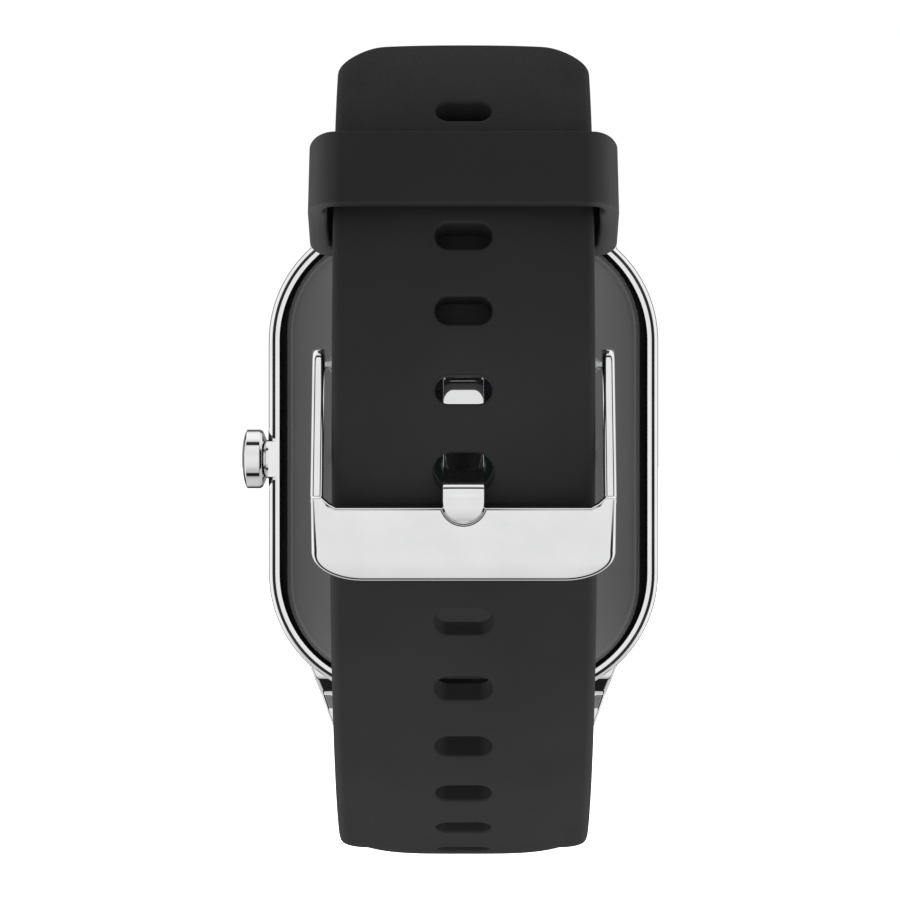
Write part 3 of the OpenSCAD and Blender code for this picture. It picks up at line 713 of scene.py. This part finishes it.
def strap_tip(surface, layer, s0):
    """Rounded free end; its crown fades out towards the tip."""
    left, top, right = tip_anchors(s0)

    def tip_height(x, s):
        return layer.height(x, HALF_T, 1 - 0.85 * smooth_step((s - s0) / (TIP_S - s0 - 3)))

    def reach(anchors, share):
        moved = []
        for p, d in anchors:
            out = TIP_R - share * (layer.edge + (TIP_EDGE - layer.edge) * d[1] ** 2)
            moved.append((p[0] + d[0] * out, p[1] + d[1] * out))
        return moved

    def placed(points, share):
        bent = [bowed(point, s0) for point in points]
        return [on_route(outer_route, s, x, tip_height(x, s) * share) for x, s in bent]

    bottom = [(x, s0) for x in layer.flat]
    rows = coons(bottom, reach(top, 1.0), reach(left, 1.0), reach(right, 1.0))
    surface.add_rings([placed(row, 1.0) for row in rows], closed=False)
    path = left + top[1:] + list(reversed(right))[1:]
    surface.add_rings([placed(reach(path, 1 - math.cos(turn)), math.sin(turn))
                       for turn in layer.turns + [math.pi / 2]], closed=False)


def half_at_bar(distance):
    """Half thickness of a strap near the spring bar that it wraps."""
    return HALF_T + 0.68 * math.exp(-1.1 * (distance / 1.9) ** 2)


def bar_end(surface, route, s, turn_sign):
    """Rounds a strap end over its spring bar, from the front face to the rear one."""
    (cy, cz), angle = route(s)
    reach = half_at_bar(0.0)
    edge = [(-BAND_HALF + REAR.edge * (1 - math.cos(t)), math.sin(t)) for t in FRONT.turns]
    middle = [(x, 1.0) for x in spread(-BAND_HALF + REAR.edge, BAND_HALF - REAR.edge, 30)]
    section = edge + middle + [(-x, share) for x, share in reversed(edge)]
    rings = []
    for turn in spread(0.0, math.pi, 16):
        direction = angle + turn_sign * turn
        rings.append([(x, *polar((cy, cz), reach * share, direction)) for x, share in section])
    surface.add_rings(rings, closed=False)


def make_hole_strap(material):
    """Strap from the lower lugs, with the row of adjusting holes and the free tip."""
    surface = Surface()
    first = ENGAGED_S + (min(HOLES) - 0.5) * HOLE_PITCH
    last = ENGAGED_S + (max(HOLES) + 0.5) * HOLE_PITCH
    for layer in (FRONT, REAR):
        rows = [layer.row(outer_route, s, half_at_bar(s - END_S))
                for s in spread(END_S, first, 30)]
        surface.add_rings(rows, closed=False)
        rows = [layer.row(outer_route, s, HALF_T)
                for s in spread(first, last, CELL_ROWS * len(HOLES))]
        surface.add_rings([row[:FLAT_START + 1] for row in rows], closed=False)
        surface.add_rings([row[FLAT_END:] for row in rows], closed=False)
        strap_tip(surface, layer, last)
    for k in HOLES:
        strap_hole(surface, k)
    bar_end(surface, outer_route, END_S, 1)
    piece = surface.build("strap_with_holes")
    finish_piece(piece, material, "watch", "silicone", "hole_strap")


def make_buckle_strap(material):
    """Strap from the upper lugs to the buckle; its eye wraps the pin on both sides of a slot."""
    surface = Surface()
    eye_s, slot_s = 1.4, 2.3
    slot_low, slot_high = FLAT_START + 6, FLAT_END - 6
    for layer in (FRONT, REAR):
        rows = [layer.row(under_route, s, half_at_bar(UNDER_END_S - s))
                for s in spread(slot_s, UNDER_END_S, 70)]
        surface.add_rings(rows, closed=False)
    rims = [layer.row(under_route, slot_s, HALF_T) for layer in (FRONT, REAR)]
    surface.add_rings([rim[slot_low:slot_high + 1] for rim in rims], closed=False)
    for side in (slice(0, slot_low + 1), slice(slot_high, None)):
        fronts = [FRONT.row(under_route, s, HALF_T)[side] for s in (slot_s, eye_s)]
        rears = [REAR.row(under_route, s, HALF_T)[side] for s in (eye_s, slot_s)]
        eye = []
        for turn in spread(0.0, math.pi, 14)[1:-1]:
            direction = math.pi - PIN_TURN + turn
            ring = []
            for front, rear in zip(fronts[-1], rears[0]):
                _, y, z = between(front, rear, 0.5)
                half = math.dist(front, rear) / 2
                ring.append((front[0] + (rear[0] - front[0]) * turn / math.pi,
                             y + half * math.cos(direction), z + 1.25 * half * math.sin(direction)))
            eye.append(ring)
        surface.add_rings(fronts + eye + rears, closed=False)
    bar_end(surface, under_route, UNDER_END_S, -1)
    piece = surface.build("strap_with_buckle")
    finish_piece(piece, material, "watch", "silicone", "buckle_strap")


def make_keeper(material):
    """Moulded loop round both straps, its rims rolled and its front wall the thinner one."""
    wall, corner, rim = 1.6, 2.2, 0.28
    length = 7.5
    half_w = KEEPER_HIGH.x + 0.4
    rho_in, rho_out = UNDER_R - HALF_T - 1.1 - wall, UPPER_R + HALF_T + 0.2 + wall
    middle_rho, depth = (rho_in + rho_out) / 2, (rho_out - rho_in) / 2
    middle_turn = math.pi - math.radians(31.4)
    path = [((su * (half_w - corner), sv * (depth - corner)), (du, dv))
            for su, sv, du, dv in corners(12)]
    section = [(su * (length / 2 - rim) + rim * du, sv * (wall / 2 - rim) + rim * dv)
               for su, sv, du, dv in corners(5)]
    rings = []
    for along, out in section:
        ring = []
        angle = middle_turn + along / rho_out
        for (px, pr), (dx, dr) in path:
            thin = 1 - 0.55 * max(0.0, dr)
            offset = corner + (out - wall / 2) * thin
            ring.append((px + dx * offset, *polar(UPPER_C, middle_rho + pr + dr * offset, angle)))
        rings.append(ring)
    surface = Surface()
    surface.add_rings(rings + rings[:1])
    piece = surface.build("keeper_loop")
    finish_piece(piece, material, "keeper_loop", "silicone", "keeper")


# ---------- Case ----------


def case_outline(side_steps):
    """Corner centre and direction of each point round the case, anticlockwise from +X."""
    cx, cz = CASE_W / 2 - CORNER_R, CASE_H / 2 - CORNER_R
    points = [((sx * cx, sz * cz), (dx, dz)) for sx, sz, dx, dz in corners(28)]
    half = len(points) // 2
    return points[:half] + [((-cx, z), (-1.0, 0.0)) for z in side_steps] + points[half:]


def crown_level(level, z):
    """Lifts the rim to the flat collar behind the crown, with a straight ramp on each side."""
    ramp_up = max(0.0, abs(z - CROWN_Z) - 1.7)
    return min(level, RIM_Y + 0.03 + 0.6 * ramp_up)


def frame_profile():
    """Closed section of the case wall as (inset, level, rim part) points."""
    roll = 0.6
    points = [(inset, RIM_Y + sink, True) for inset, sink in rim_section(RIM_W)]
    points += [(1.11, RIM_Y + 0.01, True), (1.14, RIM_Y + 0.05, False), (1.15, RIM_Y + 0.12, False)]
    points += [(inset, level, False) for inset, level in soften(
        [(1.15, 12.7), (1.15, 13.2), (3.2, 13.2), (3.2, 13.8), (1.8, 13.8), (1.8, 19.0),
         (2.4, 19.0), (2.4, SEAT_Y), (0.75, SEAT_Y), (roll, SEAT_Y - 0.02)], 0.04)]
    for turn in spread(0, math.pi / 2, 8)[1:]:
        points.append((roll * (1 - math.sin(turn)), SEAT_Y - roll + roll * math.cos(turn), False))
    points += [(0.0, level, False) for level in spread(SEAT_Y - roll, RIM_Y + 1.033, 8)[1:-1]]
    return points


def make_case(material):
    """Polished frame, with the stem that the crown slides on and the four lug horns."""
    surface = Surface()
    beside = [6.0, 4.8] + spread(3.7, 1.74, 12) + [1.7, 1.6]
    steps = ([CROWN_Z + d for d in beside + [0.6, -0.6]]
             + [CROWN_Z - d for d in reversed(beside)])
    outline = case_outline(steps)
    rings = []
    for inset, level, on_rim in frame_profile():
        ring = []
        reach = CORNER_R - inset
        for (cx, cz), (dx, dz) in outline:
            y = crown_level(level, cz) if on_rim and dx == -1.0 else level
            ring.append((cx + dx * reach, y, cz + dz * reach))
        rings.append(ring)
    surface.add_rings(rings + rings[:1])
    surface.add_rings([crown_ring(reach, radius, 64) for reach, radius in (
        (17.2, 1.86), (19.3, 1.86), (19.34, 1.85), (19.38, 1.8), (19.38, 0.95), (18.4, 0.9))])
    for side in (-1, 1):
        for end in (-1, 1):
            add_lug(surface, side, end)
    piece = surface.build("case_shell", sharp=29)
    finish_piece(piece, material, "watch", "polished_steel", "case_frame")


def crown_ring(reach, radius, count):
    """Ring about the crown's axis, reach out from the middle of the watch."""
    return [(-reach, CROWN_Y + y, CROWN_Z + z) for y, z in circle(radius, count)]


def add_lug(surface, side, end):
    """Horn beside a strap end: dips behind the rim and rounds over the spring bar."""
    inner = BAND_HALF + 0.15
    end_turns = (8, 16, 24, 32, 40, 48, 56, 64, 72, 79, 85, 88.5)
    stations = spread(19.8, LUG_Z, 22) + [LUG_Z + LUG_END_R * math.sin(math.radians(a))
                                          for a in end_turns]
    rings = []
    for z in stations:
        if z > LUG_Z:
            half = math.sqrt(max(0.0004, LUG_END_R ** 2 - (z - LUG_Z) ** 2))
            back, front = LUG_Y - half, LUG_Y + half
        else:
            back = LUG_Y - LUG_END_R + 0.03 + 0.6 * max(0.0, min(z - 21.2, 24.6 - z))
            front = 19.2 - 2.2 * smooth_step((z - 21.0) / 4.2)
        outer = 14.9 - 0.38 * (z - 20.0) - 0.3 * smooth_step((z - 25.6) / 1.5)
        r = min(0.42, (front - back) / 2 * 0.8)
        ring = []
        for sx, sy, dx, dy in corners(5):
            cx, rx = (outer - r, r) if sx > 0 else (inner + r * 0.4, r * 0.4)
            cy = front - r if sy > 0 else back + r
            ring.append((side * (cx + rx * dx), cy + r * dy, end * z))
        rings.append(ring)
    starts = surface.add_rings(rings)
    surface.cap(starts[0], len(rings[0]))
    surface.cap(starts[-1], len(rings[0]))


def ray_round_rect(angle, half_w, half_h, radius):
    """Distance from the middle to a rounded rectangle's edge along an angle."""
    dx, dz = abs(math.cos(angle)), abs(math.sin(angle))
    cx, cz = half_w - radius, half_h - radius
    if dx * cz <= dz * cx and dz > 0 and dx / dz * half_h <= cx:
        return half_h / dz
    if dx > 0 and dz / dx * half_w <= cz:
        return half_w / dx
    b = dx * cx + dz * cz
    return b + math.sqrt(max(0.0, b * b - cx * cx - cz * cz + radius * radius))


def plate_ring(inset, level, count=144):
    """Rounded rectangle set in from the case's outline; its corners are a little tighter."""
    ring = []
    radius = max(0.5, CORNER_R - 0.8 - inset)
    for a in spread(0, 2 * math.pi, count)[:-1]:
        d = ray_round_rect(a, CASE_W / 2 - inset, CASE_H / 2 - inset, radius)
        ring.append((d * math.cos(a), level, d * math.sin(a)))
    return ring


def disc_ring(radius, level):
    return [(x, level, z) for x, z in circle(radius, 144)]


def make_back_cover(material):
    """Domed plate with its raised ring round the sensor window."""
    surface = Surface()
    rings = [plate_ring(inset, level) for inset, level in (
        (3.4, COVER_HIGH.y), (1.82, COVER_HIGH.y), (1.8, 12.75), (1.81, 12.66), (1.86, 12.55),
        (1.94, 12.47))]
    for t in spread(0.0, 1.0, 18):
        inset = 2.05 + 4.15 * t * t
        rings.append(plate_ring(inset, 12.42 - 1.22 * (1 - (1 - t) ** 2.2)))
    edge = rings[-1]
    for part in (0.35, 0.7):
        rings.append([between(a, b, part) for a, b in zip(edge, disc_ring(12.62, 11.17))])
    for radius, level in ((12.62, 11.16), (12.55, 11.1), (12.5, 11.0), (12.48, 10.82),
                          (12.42, 10.7),
                          (12.3, 10.63), (12.1, 10.6), (10.62, 10.6), (10.5, 10.64), (10.44, 10.75),
                          (10.44, 11.3), (9.3, 11.4), (9.3, COVER_HIGH.y)):
        rings.append(disc_ring(radius, level))
    surface.add_rings(rings)
    piece = surface.build("back_plate", sharp=50)
    finish_piece(piece, material, "watch", "cover_satin", "back_cover")


def make_cover_seal(material):
    """Dark rubber ring at the bottom of the gap round the back cover; its near-black colour is
    partly the rubber's own and partly painted shade for the gap.
    """
    surface = Surface()
    section = [(1.05, 13.15), (1.05, 13.0), (3.0, 13.0), (3.0, 13.18), (1.3, 13.18), (1.05, 13.15)]
    surface.add_rings([plate_ring(inset, level) for inset, level in soften(section, 0.03)])
    piece = surface.build("cover_seal", sharp=40)
    finish_piece(piece, material, "watch", "seal_rubber", "back_gasket")


def make_sensor_window(material):
    """Round lens with a rolled edge and a faintly domed face."""
    surface = Surface()
    low, high = WINDOW_LOW.y, WINDOW_HIGH.y
    radius, roll = 10.38, 0.3
    rings = [disc_ring(radius, high), disc_ring(radius, low + roll)]
    for turn in spread(0, math.pi / 2, 5)[1:]:
        rings.append(disc_ring(radius - roll + roll * math.cos(turn),
                               low + roll - 0.28 * math.sin(turn)))
    rings += [disc_ring(9.0, low + 0.012), disc_ring(6.0, low + 0.004), disc_ring(3.0, low + 0.001)]
    starts = surface.add_rings(rings)
    surface.fan(starts[-1], len(rings[0]), (0, low, 0))
    surface.fan(starts[0], len(rings[0]), (0, high, 0))
    piece = surface.build("sensor_lens", sharp=50)
    finish_piece(piece, material, "watch", "sensor_glass", "sensor_window")


def make_display_glass(material):
    """Cover glass whose edge rolls over to the frame."""
    surface = Surface()
    low, high = GLASS_LOW.y, GLASS_HIGH.y
    rings = [plate_ring(CASE_LIP + 0.02, low + 0.02), plate_ring(CASE_LIP, low + 0.12)]
    for turn in spread(0.0, math.pi / 2, 14):
        inset = CASE_LIP + 1.55 * (1 - math.cos(turn))
        rings.append(plate_ring(inset, low + 0.55 + (high - low - 0.57) * math.sin(turn)))
    for inset, sink in ((3.2, 0.012), (5.0, 0.006), (8.0, 0.003), (11.0, 0.0)):
        rings.append(plate_ring(inset, high - sink))
    starts = surface.add_rings(rings)
    surface.fan(starts[-1], len(rings[0]), (0, high, 0))
    surface.fan(starts[0], len(rings[0]), (0, low + 0.02, 0))
    piece = surface.build("cover_glass", sharp=60)
    finish_piece(piece, material, "watch", "display_glass", "display_glass")


def make_crown(material):
    """Polished button: recess over the stem, inner chamfer, straight rim and shallow domed end."""
    radius = (KNOB_HIGH.z - KNOB_LOW.z) / 2
    end, low = -KNOB_LOW.x, -KNOB_HIGH.x
    dome, dome_r = 0.42, radius - 0.12
    surface = Surface()
    profile = soften([(low + 0.75, 0.82), (low + 0.75, 1.96), (low, 1.96), (low + 0.02, 2.02),
                      (end - 2.02, radius - 0.15), (end - 1.78, radius), (end - 0.5, radius),
                      (end - dome, dome_r)], 0.03)
    for r in spread(dome_r, 0.0, 14)[1:-1]:
        profile.append((end - dome * (r / radius) ** 2.6, r))
    profile.append((end, 0.02))
    rings = [crown_ring(reach, r, 96) for reach, r in profile]
    starts = surface.add_rings(rings)
    surface.cap(starts[-1], len(rings[0]))
    surface.cap(starts[0], len(rings[0]))
    piece = surface.build("crown_button", sharp=24)
    finish_piece(piece, material, "crown", "polished_steel", "crown_knob")


# ---------- Buckle ----------

BAR_R = -RUN_Y + HALF_T + 0.25
BAR_T = 1.7
BAR_STEP = 0.9
BAR_TOP, BAR_LOW = -2.9, 3.3
BAR_EAR = 0.9
ARM_IN, ARM_OUT = 11.62, 12.7
ARM_R = 0.44
NOTCH_R = 1.8
NOTCH_RISE = 0.41
BAR_OUT = (-math.cos(BAR_TURN), -math.sin(BAR_TURN))
BAR_DOWN = (math.sin(BAR_TURN), -math.cos(BAR_TURN))


def on_bar(x, v, rho):
    """Point at x across, v down the bar and rho out from the curve's centre line."""
    return (x, BAR_OUT[0] * rho + BAR_DOWN[0] * v, BAR_OUT[1] * rho + BAR_DOWN[1] * v)


def bar_outline(top, notch):
    """Outline of the far bar as seen from behind; v runs down the band."""
    half_w = BUCKLE_HIGH.x + 0.08
    half = [(half_w, top - BAR_EAR)]
    half += [(half_w - 4.3 * (1 - math.cos(a)), BAR_LOW - 2.5 + 2.5 * math.sin(a))
             for a in spread(0, math.pi / 2, 20)]
    lower = half + [(-x, v) for x, v in reversed(half)]
    left = [(-half_w + 0.9, top - BAR_EAR), (-half_w + 1.5, top - 0.35), (-half_w + 2.1, top)]
    middle = []
    if notch:
        start = math.asin(NOTCH_RISE / NOTCH_R)
        middle = [(-NOTCH_R * math.cos(a), top - NOTCH_RISE + NOTCH_R * math.sin(a))
                  for a in spread(start, math.pi - start, 24)]
    right = [(-x, v) for x, v in reversed(left)]
    return lower + left + middle + right


def bar_edge(point, inward):
    """Width and facet of the bar's rim: narrow in the notch, broad at the sides, tilted with it."""
    in_notch = abs(point[0]) < NOTCH_R + 0.1 and point[1] < -1
    if in_notch:
        return 0.3, 31 + 11 * inward.y
    return 0.42 + 0.36 * abs(inward.x) ** 6, 30 + 9 * inward.y


def add_arm(surface, side):
    """Thin rounded arm from its knuckle on the pin to the end of the bar."""
    foot = Vector(on_bar(0, BAR_TOP - 0.3, BAR_R + 0.62)[1:])
    pin = Vector(PIN_AT)
    along = (foot - pin).normalized()
    out = Vector((along.y, -along.x))
    length, knuckle, thin = (foot - pin).length, 1.32, 0.5
    middle, half_x = (ARM_IN + ARM_OUT) / 2, (ARM_OUT - ARM_IN) / 2
    stations = [(-knuckle * math.cos(a), knuckle * math.sin(a))
                for a in spread(0.12, math.pi / 2, 10)]
    stations += [(length * t, knuckle + (thin - knuckle) * t) for t in (0.03, 0.25, 0.5, 0.75, 1.0)]
    rings = []
    for reach, half in stations:
        r = min(ARM_R, half * 0.9)
        ring = []
        for sx, sn, dx, dn in corners(8):
            x = side * (middle + sx * (half_x - ARM_R) + ARM_R * dx)
            y, z = pin + along * reach + out * (sn * (half - r) + r * dn)
            ring.append((x, y, z))
        rings.append(ring)
    starts = surface.add_rings(rings)
    surface.cap(starts[0], len(rings[0]))
    surface.cap(starts[-1], len(rings[0]))


def make_buckle(material):
    """Far bar, set back along its top edge below the notched face, with an arm at each side."""
    surface = Surface()
    step = BAR_R + BAR_T - BAR_STEP
    extruded(surface, bar_outline(BAR_TOP + 0.5, False), BAR_R, step, on_bar, 0.25)
    rimmed(surface, bar_outline(BAR_TOP, True), step - 0.01, BAR_R + BAR_T, on_bar, bar_edge)
    for side in (-1, 1):
        add_arm(surface, side)
    piece = surface.build("buckle_loop", sharp=29)
    finish_piece(piece, material, "buckle", "polished_steel", "buckle_frame")


def tongue_path():
    """Mid line of the tongue from its root on the pin to its tip, rounded at both bends."""
    bends = [Vector(p) for p in (
        (-32.75, 7.7), (-33.35, 4.2), (-32.46, 0.44), (-38.79, -2.78), (-38.32, -5.35))]
    path = [bends[0]]
    for before, bend, after, cut in zip(bends, bends[1:], bends[2:], (0.5, 1.1, 0.55)):
        p = bend + (before - bend).normalized() * cut
        q = bend + (after - bend).normalized() * cut
        path += [p * (1 - t) ** 2 + bend * 2 * t * (1 - t) + q * t * t for t in spread(0, 1, 10)]
    last = path[-1]
    path += [last.lerp(bends[-1], t)
             for t in (0.2, 0.35, 0.5, 0.62, 0.72, 0.8, 0.87, 0.93, 0.97, 0.995)]
    return path


def make_tongue(material):
    """Flat bent prong with a round tip, and the tube by which it turns on the pin."""
    surface = Surface()
    path = tongue_path()
    half_w, half_t, rounding = 1.7, 0.46, 0.04
    rings = []
    for i, point in enumerate(path):
        along = (path[min(len(path) - 1, i + 1)] - path[max(0, i - 1)]).normalized()
        normal = Vector((along.y, -along.x))
        left = (path[-1] - point).length
        w = half_w
        if left <= half_w:
            w = math.sqrt(max(0.004, half_w ** 2 - (half_w - left) ** 2))
        r = min(rounding, w * 0.5)
        ring = []
        for sx, sn, dx, dn in corners(4):
            y, z = point + normal * (sn * (half_t - rounding) + rounding * dn)
            ring.append((sx * (w - r) + r * dx, y, z))
        rings.append(ring)
    starts = surface.add_rings(rings)
    surface.cap(starts[0], len(rings[0]))
    surface.cap(starts[-1], len(rings[0]))
    tube = ((-1.62, 0.74), (-1.65, 1.35), (-1.6, 1.455), (-1.45, 1.5), (1.45, 1.5), (1.6, 1.455),
            (1.65, 1.35), (1.62, 0.74), (-1.62, 0.74))
    surface.add_rings([[(x, PIN_AT[0] + y, PIN_AT[1] + z) for y, z in circle(radius, 40)]
                       for x, radius in tube])
    piece = surface.build("buckle_prong", sharp=32)
    finish_piece(piece, material, "tongue", "polished_steel", "buckle_tongue")


# ---------- Studio ----------


def make_floor():
    """Wide pale sweep below the watch."""
    surface = Surface()
    level = cad_box[0].z / MM - 22
    rings = [[(x, y, level) for x, y in circle(radius, 64)]
             for radius in (60.0, 400.0, 1500.0, 6000.0, 20000.0)]
    starts = surface.add_rings(rings)
    surface.cap(starts[0], len(rings[0]))
    floor = surface.build("studio_floor")
    material, tree, shader, place = new_material("studio_floor")
    cloud = noise(tree, place, 3.0, 2.0)
    tree.links.new(ramp(tree, cloud, [(0.3, (0.88, 0.88, 0.88)), (0.7, (0.9, 0.9, 0.9))]),
                   shader.inputs["Base Color"])
    shader.inputs["Roughness"].default_value = 0.9
    shader.inputs["Specular IOR Level"].default_value = 0.1
    shader.inputs["Emission Color"].default_value = (1, 1, 1, 1)
    shader.inputs["Emission Strength"].default_value = 1.5
    floor.data.materials.append(material)
    floor.visible_glossy = False


def make_world():
    """Soft white surround: a dark band for polished steel, and side light for the matte parts."""
    world = bpy.data.worlds.new("studio")
    bpy.context.scene.world = world
    world.use_nodes = True
    tree = world.node_tree
    tree.nodes.clear()
    direction = tree.nodes.new("ShaderNodeTexCoord").outputs["Generated"]
    separate = tree.nodes.new("ShaderNodeSeparateXYZ")
    tree.links.new(direction, separate.inputs["Vector"])
    rays = tree.nodes.new("ShaderNodeLightPath")

    def calculate(operation, *values):
        node = tree.nodes.new("ShaderNodeMath")
        node.operation = operation
        for socket, value in zip(node.inputs, values):
            set_input(tree, socket, value)
        return node.outputs[0]

    def light(colour, strength):
        node = tree.nodes.new("ShaderNodeBackground")
        set_input(tree, node.inputs["Color"], colour)
        set_input(tree, node.inputs["Strength"], strength)
        return node.outputs["Background"]

    def choose(ray, plain, special):
        mix = tree.nodes.new("ShaderNodeMixShader")
        tree.links.new(rays.outputs[ray], mix.inputs["Fac"])
        tree.links.new(plain, mix.inputs[1])
        tree.links.new(special, mix.inputs[2])
        return mix.outputs["Shader"]

    angle = calculate("ARCCOSINE", calculate("MULTIPLY", separate.outputs["Y"], -1.0))
    share = remap(tree, angle, 0.0, 1.0, 0.0, math.pi)
    # Degrees from the viewing side, and how bright polished steel finds the surround there
    bands = [(0, 0.92), (20, 0.84), (50, 0.9), (54, 0.75), (57, 0.02), (69, 0.02), (74, 0.75),
             (90, 0.98), (118, 0.98), (134, 0.7), (139, 0.03), (149, 0.03), (157, 0.3), (180, 0.3)]
    glow = ramp(tree, share, [(degrees / 180, (glare / 1.2,) * 3) for degrees, glare in bands])
    from_side = calculate("MULTIPLY", separate.outputs["X"], separate.outputs["X"])
    fill = calculate("MULTIPLY", remap(tree, from_side, 0.35, 1.9, 0.0, 1.0),
                     remap(tree, separate.outputs["Z"], 1.5, 0.45, -1.0, 1.0))
    white = (1.0, 1.0, 1.0, 1.0)
    below = remap(tree, separate.outputs["Z"], 0.78, 1.2, -0.7, -0.42)
    lit = choose("Is Diffuse Ray", light(glow, below), light(white, fill))
    output = tree.nodes.new("ShaderNodeOutputWorld")
    tree.links.new(choose("Is Camera Ray", lit, light(white, 1.02)), output.inputs["Surface"])


def make_camera():
    """Level view of the back of the watch, square to it."""
    data = bpy.data.cameras.new("camera")
    data.lens = 149.4
    data.sensor_width = 36.0
    data.shift_x = -0.015
    data.shift_y = 0.0078
    data.clip_start = 0.01
    data.clip_end = 100.0
    camera = bpy.data.objects.new("camera", data)
    camera.location = (0.0, -0.3472, 0.0)
    camera.rotation_euler = (math.pi / 2, 0.0, 0.0)
    bpy.context.scene.collection.objects.link(camera)
    bpy.context.scene.camera = camera


finishes = slot_materials()
slots = {part["node"]: part["material_slot"] for part in frame["record"]["subparts"]}
for node, piece in frame["nodes"].items():
    piece.data.materials.clear()
    piece.data.materials.append(finishes[slots[node]])

make_hole_strap(finishes["silicone"])
make_buckle_strap(finishes["silicone"])
make_keeper(finishes["silicone"])
make_case(finishes["polished_steel"])
make_back_cover(finishes["cover_satin"])
make_cover_seal(finishes["seal_rubber"])
make_sensor_window(finishes["sensor_glass"])
make_display_glass(finishes["display_glass"])
make_crown(finishes["polished_steel"])
make_buckle(finishes["polished_steel"])
make_tongue(finishes["polished_steel"])

make_floor()
make_world()
make_camera()
bpy.context.scene.view_settings.view_transform = "Standard"
